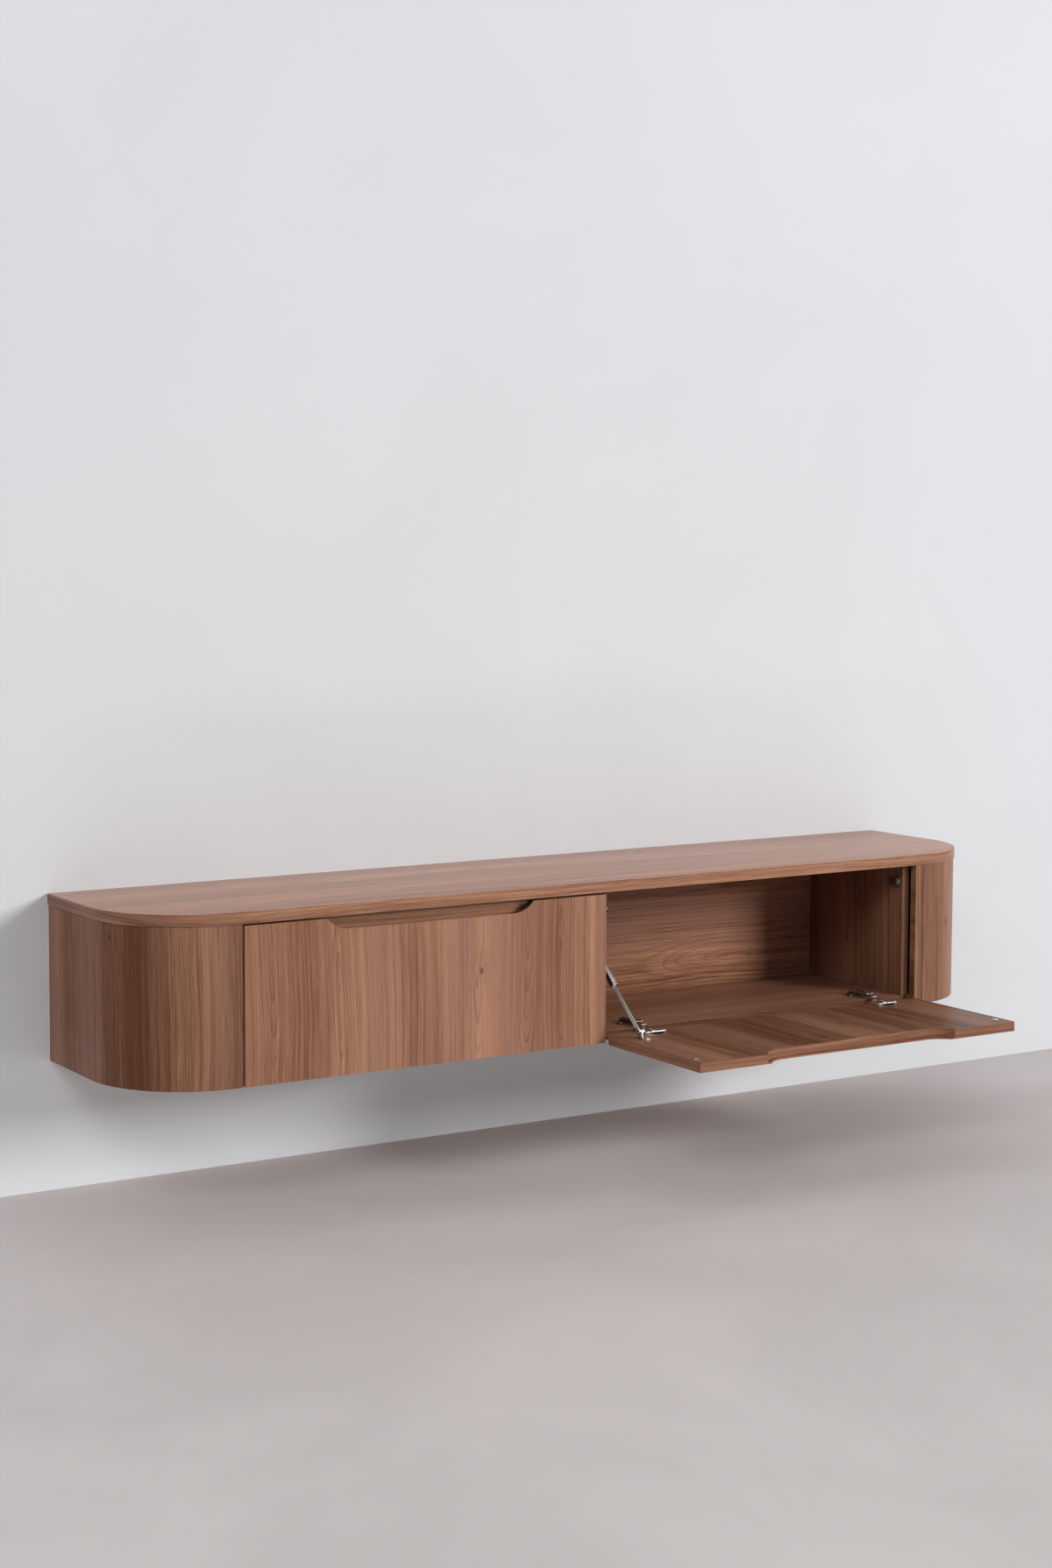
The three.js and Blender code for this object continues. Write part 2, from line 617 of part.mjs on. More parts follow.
// Wall rail with an upturned lip, and the hangers that drop over it
{
  const half = WALL_RAIL_HEIGHT / 2;
  const t = WALL_RAIL_T;
  const outline = polygon([
    [0, -half], [0, half], [-HOOK_STEP + t, half], [-HOOK_STEP + t, half + HOOK_RISE],
    [-HOOK_STEP, half + HOOK_RISE], [-HOOK_STEP, half - t], [-t, half - t], [-t, -half],
  ]);
  const rail = sideways(outline, -WALL_RAIL_LENGTH / 2, WALL_RAIL_LENGTH);
  rail.translate(0, 0, hangHeight);
  place('wall_rail', rail, paint(STEEL, 0.45, 1));

  const lipRear = -HOOK_PLAY;
  const lipFront = -(HOOK_STEP - t - HOOK_PLAY);
  const bridge = half + HOOK_RISE + HOOK_PLAY;
  const plateRear = backRearY + JOINT_GAP + HANGER_T;
  const plateFront = backRearY + JOINT_GAP;
  const hook = polygon([
    [lipRear, half + HOOK_PLAY], [lipRear, bridge + HANGER_T],
    [plateFront, bridge + HANGER_T], [plateFront, -HANGER_DROP],
    [plateRear, -HANGER_DROP], [plateRear, bridge], [lipFront, bridge],
    [lipFront, half + HOOK_PLAY],
  ]);
  const hangers = [
    ['left_hanger', -partitionX], ['centre_hanger', 0], ['right_hanger', partitionX],
  ];
  for (const [name, x] of hangers) {
    const hanger = sideways(hook, x - HANGER_WIDTH / 2, HANGER_WIDTH);
    hanger.translate(0, 0, hangHeight);
    place(name, hanger, paint(STEEL, 0.45, 1));
  }
}

export default console_;
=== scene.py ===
"""Walnut media console that hangs on a wall, with two drop-down flaps."""

import math

import bmesh
import bpy
from bmesh.types import BMFace, BMVert
from bpy.props import FloatProperty, FloatVectorProperty, IntProperty, PointerProperty
from mathutils import Matrix, Vector


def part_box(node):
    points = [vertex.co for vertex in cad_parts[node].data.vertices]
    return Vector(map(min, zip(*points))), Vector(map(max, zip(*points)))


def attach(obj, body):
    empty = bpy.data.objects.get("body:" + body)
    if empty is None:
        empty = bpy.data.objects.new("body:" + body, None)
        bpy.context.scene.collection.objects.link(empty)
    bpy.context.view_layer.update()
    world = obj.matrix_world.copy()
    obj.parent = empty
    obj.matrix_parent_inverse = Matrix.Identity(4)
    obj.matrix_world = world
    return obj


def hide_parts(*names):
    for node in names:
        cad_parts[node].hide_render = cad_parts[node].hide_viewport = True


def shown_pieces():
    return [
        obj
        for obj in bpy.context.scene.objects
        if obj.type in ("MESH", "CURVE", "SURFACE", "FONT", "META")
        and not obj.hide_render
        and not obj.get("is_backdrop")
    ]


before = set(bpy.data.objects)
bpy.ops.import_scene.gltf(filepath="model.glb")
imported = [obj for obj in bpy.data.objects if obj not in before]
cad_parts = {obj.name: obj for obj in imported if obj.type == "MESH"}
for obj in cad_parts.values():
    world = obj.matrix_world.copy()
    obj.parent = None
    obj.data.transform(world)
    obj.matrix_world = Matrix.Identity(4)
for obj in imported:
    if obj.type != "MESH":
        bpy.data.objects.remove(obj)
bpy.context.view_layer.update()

bl_info = {
    "name": "Walnut Media Console",
    "version": (1, 0, 0),
    "blender": (4, 5, 0),
    "location": "View3D > Sidebar > Console",
    "description": "Builds a wall-hung walnut console with drop-down flaps round its CAD frame",
    "category": "Object",
}

MM = 0.001
FROM_MM = Matrix.Scale(MM, 4)
X, Y, Z = Vector((1, 0, 0)), Vector((0, 1, 0)), Vector((0, 0, 1))
FULL_TURN, RIGHT_ANGLE = 2 * math.pi, math.pi / 2
# Faces that meet at more than this, in radians, have their edge rounded
SHARP_ANGLE = 0.52

# The case, in metres
TOP_CORNER = 0.192
END_OUTER, END_THICK, END_CORNER = 0.998, 0.016, 0.190
FLOOR_GAP = 0.0163
BAYS_HALF, BAYS_FRONT = 0.787, -0.363

# Where a flap turns, in metres
AXIS_Y, AXIS_Z = -0.3845, -0.2545

# The open flap and its fittings, in millimetres from the axis and the flap's middle
EDGE_NEAR = -4.5
OUTER_UP, INNER_UP = 0.5, 19.5
FLAP_HALF, FLAP_HEIGHT = 390.5, 290.0
FLAP_CENTRE = 392.5
OUTER_SCOOP, INNER_SCOOP = (446.0, 21.0, 45.0), (466.0, 31.0, 52.0)
LIP = 3.0
HINGE_X = 295.5
CUP_Y = -27.0
BORE_RADIUS, BORE_DEPTH = 17.8, 11.8
KNUCKLE = (28.0, 32.0)
LINK_DROOP = math.radians(13.2)
STAY_PIVOT = (114.0, 194.0)
STAY_EYE = (-62.0, 34.0)
STAY_X = -360.5
STAY_RISE = math.atan2(STAY_PIVOT[1] - STAY_EYE[1], STAY_PIVOT[0] - STAY_EYE[0])
STAY_LENGTH = math.hypot(STAY_PIVOT[1] - STAY_EYE[1], STAY_PIVOT[0] - STAY_EYE[0])
STAY_SWING = math.radians(9)
STAY_TRAVEL = 98.0
SLEEVE_HOLE = 112.0
SIDES = (("left", -FLAP_CENTRE, False), ("right", FLAP_CENTRE, True))


def colour(name, text, value):
    return FloatVectorProperty(name=name, description=text, subtype="COLOR", size=3,
                               min=0.0, max=1.0, default=value)


def number(name, text, unit, value):
    return FloatProperty(name=name, description=text, unit=unit, min=0.0, default=value)


class ConsoleWood(bpy.types.PropertyGroup):
    pale: colour("Pale walnut", "Lightest bands of the veneer", (0.425, 0.216, 0.132))
    rose: colour("Rosy walnut", "Greyish rose bands of the veneer", (0.338, 0.172, 0.118))
    dark: colour("Dark walnut", "Deepest bands of the veneer", (0.150, 0.058, 0.028))
    vein: colour("Vein", "Late wood lines and pores", (0.070, 0.026, 0.013))
    gloss: FloatProperty(name="Lacquer roughness", description="Roughness of the satin lacquer",
                         min=0.1, max=1.0, default=0.36)
    edge_round: number("Edge rounding", "Radius sanded on the edges of boards", "LENGTH", 0.0007)
    curve_steps: IntProperty(name="Curve steps", description="Facets of a rounded corner",
                             min=12, max=96, default=48)


class ConsoleMetal(bpy.types.PropertyGroup):
    # Nickel is paler than plain plating: partly its own colour and partly painted light for
    # fittings that face the lamp. The shaded nickel is the same plating darkened, a painted shade
    # for fittings in the bays.
    nickel: colour("Nickel", "Bright plated fittings", (0.86, 0.85, 0.83))
    steel: colour("Steel", "Brushed fittings", (0.46, 0.45, 0.44))
    smoke: colour("Dark nickel", "Shaded plated fittings", (0.27, 0.26, 0.25))
    # The recess colour is near black: painted shade for screw drives, sleeve cheeks, the cup bowl
    # and slots.
    recess: colour("Recess", "Inside of screw heads and sleeves", (0.05, 0.05, 0.05))
    plastic: colour("Dark plastic", "Catches and bushings", (0.035, 0.030, 0.028))


WOOD_TINTS = ("pale", "rose", "dark", "vein")


class ConsoleStage(bpy.types.PropertyGroup):
    wall: colour("Wall", "Painted wall", (0.632, 0.643, 0.663))
    floor: colour("Floor", "Plain pale floor", (0.60, 0.555, 0.545))
    floor_drop: number("Floor drop", "Floor below the wall rail", "LENGTH", 0.4965)
    key: number("Key light", "Power of the large soft lamp", "POWER", 800.0)
    fill: number("Fill light", "Power of the weak lamp opposite", "POWER", 140.0)
    bounce: number("Bounced light", "Power of the lamp for the wall's foot", "POWER", 2.8)
    rear: number("Back light", "Power of the lamp for the back alone", "POWER", 260.0)
    sky: number("Room light", "Light from the room all round", "NONE", 0.20)


class Recipe:
    """Adds and joins shader nodes in one tree. Their kinds are named without ShaderNode."""

    def __init__(self, tree):
        self.tree = tree

    def add(self, kind, settings=None, **sockets):
        node = self.tree.nodes.new("ShaderNode" + kind)
        for key, value in (settings or {}).items():
            setattr(node, key, value)
        for key, value in sockets.items():
            self.give(node, key.replace("_", " "), value)
        return node

    def give(self, node, key, value):
        socket = node.inputs[int(key)] if key.isdigit() else node.inputs[key]
        if isinstance(value, bpy.types.NodeSocket):
            self.tree.links.new(value, socket)
        else:
            socket.default_value = value

    def math(self, operation, *values):
        node = self.add("Math", {"operation": operation})
        for i, value in enumerate(values):
            self.give(node, str(i), value)
        return node.outputs[0]

    def plus(self, total, *terms):
        for term in terms:
            total = self.math("ADD", total, term)
        return total

    def times(self, a, b):
        return self.math("MULTIPLY", a, b)

    def lean(self, value, gain):
        """How far a value leans from one half, times a gain."""
        return self.times(self.math("SUBTRACT", value, 0.5), gain)

    def vector(self, x, y, z=0.0):
        return self.add("CombineXYZ", X=x, Y=y, Z=z).outputs[0]

    def stretched(self, parts, along, across, seed):
        return self.vector(self.times(parts[0], along), self.times(parts[1], across), seed)

    def scaled(self, vector, factor):
        return self.add("VectorMath", {"operation": "SCALE"},
                        **{"0": vector, "Scale": factor}).outputs[0]

    def place(self):
        return self.add("TexCoord").outputs["Object"]

    def noise(self, vector, detail=2.0, roughness=0.5, distortion=0.0):
        return self.add("TexNoise", Vector=vector, Scale=1.0, Detail=detail,
                        Roughness=roughness, Distortion=distortion).outputs["Fac"]

    def span(self, value, low, high, to_low=0.0, to_high=1.0):
        return self.add("MapRange", {"interpolation_type": "SMOOTHSTEP"}, Value=value,
                        From_Min=low, From_Max=high, To_Min=to_low,
                        To_Max=to_high).outputs["Result"]

    def mix(self, factor, a, b):
        node = self.add("Mix", {"data_type": "RGBA"}, **{"0": factor})
        for key, tint in (("6", a), ("7", b)):
            linked = isinstance(tint, bpy.types.NodeSocket)
            self.give(node, key, tint if linked else opaque(tint))
        return node.outputs[2]

    def blend(self, factor, first, second):
        """Mixes two shaders by a factor."""
        return self.add("MixShader", **{"0": factor, "1": first.outputs[0],
                                                  "2": second.outputs[0]}).outputs[0]


def opaque(tint, gain=1.0):
    return tuple(min(1.0, c * gain) for c in tint) + (1.0,)


def fill_group(name, ins, recipe):
    """A node group that puts out a colour, a roughness and a height, made once."""
    if name in bpy.data.node_groups:
        return bpy.data.node_groups[name]
    tree = bpy.data.node_groups.new(name, "ShaderNodeTree")
    for label, kind, value in ins:
        socket = tree.interface.new_socket(label, in_out="INPUT", socket_type="NodeSocket" + kind)
        if value is not None:
            socket.default_value = value
    for label, kind in (("Color", "Color"), ("Roughness", "Float"), ("Height", "Float")):
        tree.interface.new_socket(label, in_out="OUTPUT", socket_type="NodeSocket" + kind)
    entry, leave = tree.nodes.new("NodeGroupInput"), tree.nodes.new("NodeGroupOutput")
    for i, value in enumerate(recipe(Recipe(tree), entry.outputs)):
        tree.links.new(value, leave.inputs[i])
    return tree


def veneer_group():
    wood = bpy.context.scene.console_wood
    floats = (("Leaf", 0.12), ("Ring", 0.0046), ("Figure", 1.0), ("Arch", 0.0), ("Slope", 0.07),
              ("Depth", 0.02), ("Heart", 0.0), ("Spread", 1.0), ("Bands", 1.0), ("Streaks", 1.0),
              ("Knots", 1.0), ("Seed", 0.0), ("Roughness", wood.gloss))
    return fill_group("walnut veneer", [
        ("Grain", "Vector", None),
        *((key.title(), "Color", opaque(getattr(wood, key))) for key in WOOD_TINTS),
        *((label, "Float", value) for label, value in floats),
    ], sliced_veneer)


def sliced_veneer(r, given):
    """Sliced walnut: x runs along the grain and y across it, in metres."""
    seed = given["Seed"]
    along, across = r.add("SeparateXYZ", Vector=given["Grain"]).outputs[:2]

    # small knots push the grain aside
    moved = [r.math("MULTIPLY_ADD", seed, 1.37, along), r.math("MULTIPLY_ADD", seed, 0.71, across)]
    spot = r.add("TexVoronoi", {"voronoi_dimensions": "2D"}, Scale=1.0, Randomness=1.0,
                 Vector=r.stretched(moved, 3.4, 7.0, 0.0))
    chosen = r.add("SeparateColor", Color=spot.outputs["Color"])
    chance = r.times(r.math("GREATER_THAN", chosen.outputs[0], 0.45), given["Knots"])
    near = r.times(r.span(spot.outputs["Distance"], 0.20, 0.0), chance)
    eye = r.times(r.span(spot.outputs["Distance"], 0.034, 0.010), chance)

    # slow wander of the fibres
    slow = r.noise(r.stretched((along, across), 1.7, 3.0, seed), 1.0)
    quick = r.noise(r.stretched((along, across), 6.0, 20.0, r.plus(seed, 7.7)), 2.0)
    side = r.plus(across, r.plus(r.lean(slow, 0.040), r.lean(quick, 0.0028), r.times(near, 0.006)))

    # leaves of veneer, each with its own heart, whose rings run out in long pointed arches
    steps = r.math("DIVIDE", side, given["Leaf"])
    leaf = r.math("FLOOR", steps)
    dice = r.add("TexWhiteNoise", {"noise_dimensions": "2D"}, Vector=r.vector(leaf, seed))
    luck = r.add("SeparateColor", Color=dice.outputs["Color"])
    place = r.math("SUBTRACT", r.math("FRACT", steps), 0.5)
    heart = r.plus(r.lean(luck.outputs[0], r.times(given["Spread"], 2.4)), given["Heart"])
    off = r.times(r.math("SUBTRACT", place, heart), given["Leaf"])
    way = r.lean(luck.outputs[1], r.times(given["Spread"], 0.30))
    rise = r.times(r.plus(along, given["Arch"], way), given["Slope"])
    rise = r.math("SMOOTH_MIN", r.math("ABSOLUTE", rise), given["Depth"], 0.012)
    deep = r.plus(rise, r.lean(quick, 0.003))
    far = r.math("SQRT", r.plus(r.times(off, off), r.times(deep, deep)))
    rings = r.math("DIVIDE", far, given["Ring"])
    uneven = r.noise(r.stretched((rings, along), 0.45, 1.2, seed), 1.0)
    turn = r.math("FRACT", r.plus(rings, r.times(uneven, 1.8)))
    late = r.times(r.math("POWER", turn, 5.0), r.span(turn, 1.0, 0.92))

    # colour bands, fibres and pores
    def grain(stretch, width, change, detail, roughness=0.5):
        return r.noise(r.stretched((along, side), stretch, width, r.plus(seed, change)),
                       detail, roughness)

    broad = grain(0.40, 6.5, 2.1, 1.0)
    narrow = grain(0.9, 34.0, 5.9, 2.0, 0.55)
    streak = grain(1.8, 210.0, 1.3, 3.0, 0.65)
    fibre = grain(12.0, 900.0, 0.0, 2.0, 0.6)
    pores = r.span(grain(46.0, 2100.0, 3.3, 1.0), 0.60, 0.72)

    fine = r.plus(r.lean(streak, 2.0), r.lean(fibre, 1.7))
    light = r.plus(0.58, r.times(fine, given["Streaks"]), r.lean(narrow, 0.58),
                   r.times(r.lean(broad, 1.25), given["Bands"]), r.lean(luck.outputs[2], 0.12))
    light = r.span(light, -0.30, 1.35)
    rosy = r.span(grain(0.5, 12.0, 9.1, 2.0), 0.42, 0.62)
    tone = r.mix(light, given["Dark"], r.mix(rosy, given["Pale"], given["Rose"]))
    veil = r.times(late, r.span(uneven, 0.32, 0.62, 0.20, 0.60))
    tone = r.mix(r.times(veil, given["Figure"]), tone, given["Vein"])
    tone = r.mix(r.times(pores, 0.34), tone, given["Vein"])
    tone = r.mix(r.times(near, 0.18), tone, given["Dark"])
    tone = r.mix(r.times(eye, 0.75), tone, given["Vein"])

    grip = r.plus(given["Roughness"], r.times(pores, 0.16), r.lean(streak, 0.12))
    relief = r.math("SUBTRACT", r.times(fibre, 0.35), pores)
    return tone, grip, r.math("SUBTRACT", relief, r.times(late, 0.35))


def metal_group():
    return fill_group("fitting metal", [
        ("Place", "Vector", None), ("Base", "Color", (0.7, 0.7, 0.7, 1.0)),
        ("Roughness", "Float", 0.2), ("Brush", "Float", 0.3)], drawn_metal)


def drawn_metal(r, given):
    """Plated or brushed metal: fine drawing lines and faint handling marks."""
    split = r.add("SeparateXYZ", Vector=given["Place"]).outputs
    lines = r.noise(r.vector(r.times(split[0], 900.0), r.times(split[1], 4000.0),
                             r.times(split[2], 4000.0)), 2.0)
    marks = r.noise(r.scaled(given["Place"], 140.0), 3.0)
    shade = r.times(r.span(marks, 0.35, 0.75), 0.14)
    tone = r.mix(shade, given["Base"], (0.30, 0.28, 0.26))
    relief = r.times(lines, given["Brush"])
    return tone, r.plus(given["Roughness"], r.times(marks, 0.10), r.times(relief, 0.22)), relief


def once(make):
    """Makes a material when it is first asked for, and gives the same one afterwards."""
    def find(name, *values, **lay):
        return bpy.data.materials.get(name) or make(name, *values, **lay)
    return find


def surface(name):
    """A new material with its shader, and the recipe to fill it."""
    material = bpy.data.materials.new(name)
    material.use_nodes = True
    shader = material.node_tree.nodes["Principled BSDF"]
    return material, shader, Recipe(material.node_tree)


def coat(r, shader, tint, roughness, height, strength, distance):
    """Joins a colour, a roughness and a fine relief to the shader."""
    r.give(shader, "Base Color", tint)
    r.give(shader, "Roughness", roughness)
    bump = r.add("Bump", Strength=strength, Distance=distance, Height=height)
    r.give(shader, "Normal", bump.outputs[0])


@once
def walnut(name, seed, tone=1.0, shine=0.32, **lay):
    """A walnut veneer from its seed, its tone and what differs from the usual lay."""
    material, shader, r = surface(name)
    grain = r.add("UVMap", {"uv_map": "grain"}).outputs[0]
    look = r.add("Group", {"node_tree": veneer_group()}, Grain=grain, Seed=seed,
                 **{key.title(): value for key, value in lay.items()})
    for key in WOOD_TINTS:
        r.give(look, key.title(), opaque(getattr(bpy.context.scene.console_wood, key), tone))
    r.give(shader, "Specular IOR Level", shine)
    coat(r, shader, *look.outputs, 0.22, 0.0002)
    return material


@once
def metal(name, base, roughness, brush):
    material, shader, r = surface(name)
    look = r.add("Group", {"node_tree": metal_group()}, Place=r.place(), Base=opaque(base),
                 Roughness=roughness, Brush=brush)
    r.give(shader, "Metallic", 1.0)
    coat(r, shader, *look.outputs, 0.12, 0.0001)
    return material


@once
def moulded(name, base):
    """Fine-grained moulded plastic, or the near-black painted shade inside a recess."""
    material, shader, r = surface(name)
    grain = r.noise(r.scaled(r.place(), 900.0), 2.0)
    r.give(shader, "Specular IOR Level", 0.2)
    coat(r, shader, r.mix(grain, base, [c * 1.5 for c in base]),
         r.span(grain, 0.3, 0.7, 0.42, 0.58), grain, 0.15, 0.0001)
    return material


# The shaded nickel is a painted shade copy of the nickel, and the recess colour is painted shade.
FINISHES = {"nickel": (metal, "bright nickel", 0.20, 0.15),
            "smoke": (metal, "dark nickel", 0.16, 0.4),
            "steel": (metal, "brushed steel", 0.30, 1.0),
            "plastic": (moulded, "dark plastic"),
            "recess": (moulded, "recess")}


def looks(*kinds):
    """The materials of a fitting, each with its colour from the panel."""
    made = []
    for kind in kinds:
        make, name, *finish = FINISHES[kind]
        made.append(make(name, getattr(bpy.context.scene.console_metal, kind), *finish))
    return made


def shift(bm, step, verts=None):
    bmesh.ops.translate(bm, vec=step, verts=bm.verts if verts is None else verts)


def place_at(bm, matrix):
    bmesh.ops.transform(bm, matrix=matrix, verts=bm.verts)


def of_kind(geom, kind):
    return [g for g in geom if isinstance(g, kind)]


def sized(size, centre):
    """A box from its size and its centre."""
    bm = bmesh.new()
    bmesh.ops.create_cube(bm, size=1.0)
    bmesh.ops.scale(bm, vec=size, verts=bm.verts)
    shift(bm, centre)
    return bm


def solid(low, high):
    """A box from its low corner to its high corner."""
    low, high = Vector(low), Vector(high)
    return sized(high - low, (low + high) / 2)


def one_side(size, centre, axis):
    """The one face of a box that looks along the axis."""
    bm = sized(size, centre)
    bmesh.ops.delete(bm, geom=[f for f in bm.faces if f.normal.dot(axis) < 0.9], context="FACES")
    return bm


def outward(bm, gap=0.0):
    """Merges the corners that lie within a gap, and turns the faces outwards."""
    if gap:
        bmesh.ops.remove_doubles(bm, verts=bm.verts, dist=gap)
    bmesh.ops.recalc_face_normals(bm, faces=bm.faces)


def pull(bm, faces, step):
    """Draws faces out by a step, and returns the faces at the new end."""
    geom = bmesh.ops.extrude_face_region(bm, geom=faces)["geom"]
    shift(bm, step, of_kind(geom, BMVert))
    return of_kind(geom, BMFace)


def spin(bm, geom, centre, axis, angle, steps):
    """Sweeps geometry round an axis, and closes it after a full turn."""
    return bmesh.ops.spin(bm, geom=geom, cent=centre, axis=axis, dvec=(0, 0, 0), angle=angle,
                          steps=steps, use_merge=angle == FULL_TURN, use_duplicate=False)


def soften(bm, radius, edges=None, steps=2):
    """Rounds the given edges, or else those whose faces meet at a sharp angle."""
    if edges is None:
        edges = [e for e in bm.edges if e.is_manifold and e.calc_face_angle(0.0) > SHARP_ANGLE]
    bmesh.ops.bevel(bm, geom=edges, offset=radius, offset_type="OFFSET", segments=steps,
                    profile=0.5, affect="EDGES", clamp_overlap=True, material=-1)


def round_corners(bm, radius, steps, axis=2, front=None):
    """Rounds the edges along an axis, or only those in front of a place."""
    edges = [e for e in bm.edges
             if abs((e.verts[0].co - e.verts[1].co).normalized()[axis]) > 0.9
             and (front is None or e.verts[0].co.y < front)]
    soften(bm, radius, edges, steps)


def pour(scratch, bm, paint=0, swap=None):
    """Adds a finished small mesh to a bigger one, and gives its material."""
    for face in scratch.faces:
        face.material_index = (swap or {}).get(face.material_index, paint)
    mesh = bpy.data.meshes.new("pour")
    scratch.to_mesh(mesh)
    scratch.free()
    bm.from_mesh(mesh)
    bpy.data.meshes.remove(mesh)


def add_block(bm, low, high, radius=0.4, steps=2, paint=0):
    """A rounded block from its low corner to its high corner."""
    scratch = solid(low, high)
    soften(scratch, min(radius, min(Vector(high) - Vector(low)) * 0.3), steps=steps)
    pour(scratch, bm, paint)


def add_plate(bm, low, high, corner, axis=2, radius=0.3, paint=0):
    """A plate with rounded corners, seen along the axis."""
    scratch = solid(low, high)
    round_corners(scratch, corner, 8, axis)
    soften(scratch, radius)
    pour(scratch, bm, paint)


def cone(radius, top, height, sides):
    """A cone or a cylinder that stands on the origin."""
    scratch = bmesh.new()
    bmesh.ops.create_cone(scratch, cap_ends=True, segments=sides, radius1=radius, radius2=top,
                          depth=height)
    shift(scratch, (0, 0, height / 2))
    return scratch


def turned(axis, at):
    return Matrix.Translation(at) @ Z.rotation_difference(Vector(axis)).to_matrix().to_4x4()


def add_round(bm, at, axis, radius, depth, rim=0.4, sides=24, paint=0):
    """A turned piece that starts at a point and runs along an axis."""
    scratch = cone(radius, radius, depth, sides)
    if rim:
        ends = [e for e in scratch.edges if any(len(f.verts) > 4 for f in e.link_faces)]
        soften(scratch, rim, ends, 3)
    place_at(scratch, turned(axis, at))
    pour(scratch, bm, paint)


def add_screw(bm, at, axis, radius=3.2, height=1.0, paint=0, dark=1):
    """A screw head with slanted sides and a drive recess."""
    scratch = cone(radius, radius * 0.72, height, 20)
    crown = max(scratch.faces, key=lambda f: f.calc_center_median().z)
    bmesh.ops.inset_region(scratch, faces=[crown], thickness=radius * 0.34, use_even_offset=True)
    # the drive recess takes the dark colour, a painted shade
    crown.material_index = 1
    shift(scratch, (0, 0, -height * 0.45), crown.verts)
    place_at(scratch, turned(axis, at))
    pour(scratch, bm, paint, {1: dark})


def add_ring(bm, at, outer, inner, width, sides=28):
    """A flat ring round an axis along X, from a spun section."""
    scratch = one_side((width, outer - inner, 1.0), (0, (outer + inner) / 2, -0.5), Z)
    section = scratch.verts[:] + scratch.edges[:] + scratch.faces[:]
    spin(scratch, section, (0, 0, 0), X, FULL_TURN, sides)
    bmesh.ops.remove_doubles(scratch, verts=scratch.verts, dist=0.001)
    inside = [f for f in scratch.faces if len(f.verts) == 4 and
              all(abs(v.co.z) < 1e-4 for v in f.verts) and abs(f.normal.z) > 0.9]
    bmesh.ops.delete(scratch, geom=inside, context="FACES_ONLY")
    outward(scratch)
    soften(scratch, 0.3)
    shift(scratch, at)
    pour(scratch, bm)


def add_profile(bm, points, low, high, radius=0.4):
    """An outline in Y and Z, pulled along X and rounded."""
    scratch = bmesh.new()
    face = scratch.faces.new([scratch.verts.new((low, y, z)) for y, z in points])
    pull(scratch, [face], (high - low, 0, 0))
    outward(scratch)
    soften(scratch, radius)
    pour(scratch, bm)


def arc_points(centre, radius, start, end, steps=8):
    """Points of an arc in Y and Z, angles in degrees from +Y towards +Z."""
    cy, cz = centre
    turns = [math.radians(start + (end - start) * i / steps) for i in range(steps + 1)]
    return [(cy + radius * math.cos(a), cz + radius * math.sin(a)) for a in turns]


def new_object(name, bm, materials, crease=25):
    mesh = bpy.data.meshes.new(name)
    bm.to_mesh(mesh)
    bm.free()
    for material in materials:
        mesh.materials.append(material)
    mesh.shade_smooth()
    mesh.set_sharp_from_angle(angle=math.radians(crease))
    obj = bpy.data.objects.new(name, mesh)
    bpy.context.scene.collection.objects.link(obj)
    return obj


def settle(name, bm, materials, body, node, place=None, crease=25):
    """Makes the piece, with its place in its mesh, parents it to its body and hides the CAD node
    it stands for.
    """
    if place is not None:
        place_at(bm, place)
    bm.normal_update()
    obj = new_object(name, bm, materials, crease)
    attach(obj, body)
    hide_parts(node)


def lay_grain(bm, along, thick, start=(0.0, 0.0), unit=1.0):
    """Writes the grain map: faces run along the board, and edges along themselves."""
    bm.normal_update()
    layer = bm.loops.layers.uv.new("grain")
    cross = thick.cross(along)
    for face in bm.faces:
        if abs(face.normal.dot(thick)) > 0.7:
            run, wide, extra = along, cross, 0.0 if face.normal.dot(thick) > 0 else 3.0
        else:
            edge = thick.cross(face.normal)
            run = max((X, Y, Z), key=lambda a: abs(edge.dot(a)))
            wide, extra = thick, 7.0
        for loop in face.loops:
            co = loop.vert.co * unit
            loop[layer].uv = (co.dot(run) + start[0] + extra, co.dot(wide) + start[1] + extra)


def carve(context, bm, tools, round_edge):
    """The mesh less its tools, with its sharp edges rounded."""
    panel = new_object("panel", bm, [])
    for tool in tools:
        cut = panel.modifiers.new("cut", "BOOLEAN")
        cut.operation, cut.solver, cut.object = "DIFFERENCE", "EXACT", tool
    sand = panel.modifiers.new("sand", "BEVEL")
    sand.width, sand.segments, sand.limit_method = round_edge, 2, "ANGLE"
    sand.angle_limit = math.radians(35)
    graph = context.evaluated_depsgraph_get()
    bm = bmesh.new()
    bm.from_object(panel, graph)
    for obj in [panel, *tools]:
        bpy.data.objects.remove(obj, do_unlink=True)
    return bm


def board(node, along, thick, material, start):
    """A veneered board with sanded edges, in the place of its CAD solid."""
    bm = bmesh.new()
    add_block(bm, *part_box(node), bpy.context.scene.console_wood.edge_round)
    lay_grain(bm, along, thick, start)
    settle(node + "_board", bm, [material], "case", node)


def along_rim(x, y, half, radius, front):
    """Distance along the front rim from the middle, signed."""
    sign = 1.0 if x >= 0 else -1.0
    x = abs(x)
    flat = half - radius
    cy = front + radius
    if y > cy and x > flat:
        run = flat + radius * RIGHT_ANGLE + (y - cy)
    elif x > flat:
        run = flat + radius * math.atan2(x - flat, cy - y)
    else:
        run = x
    return sign * run


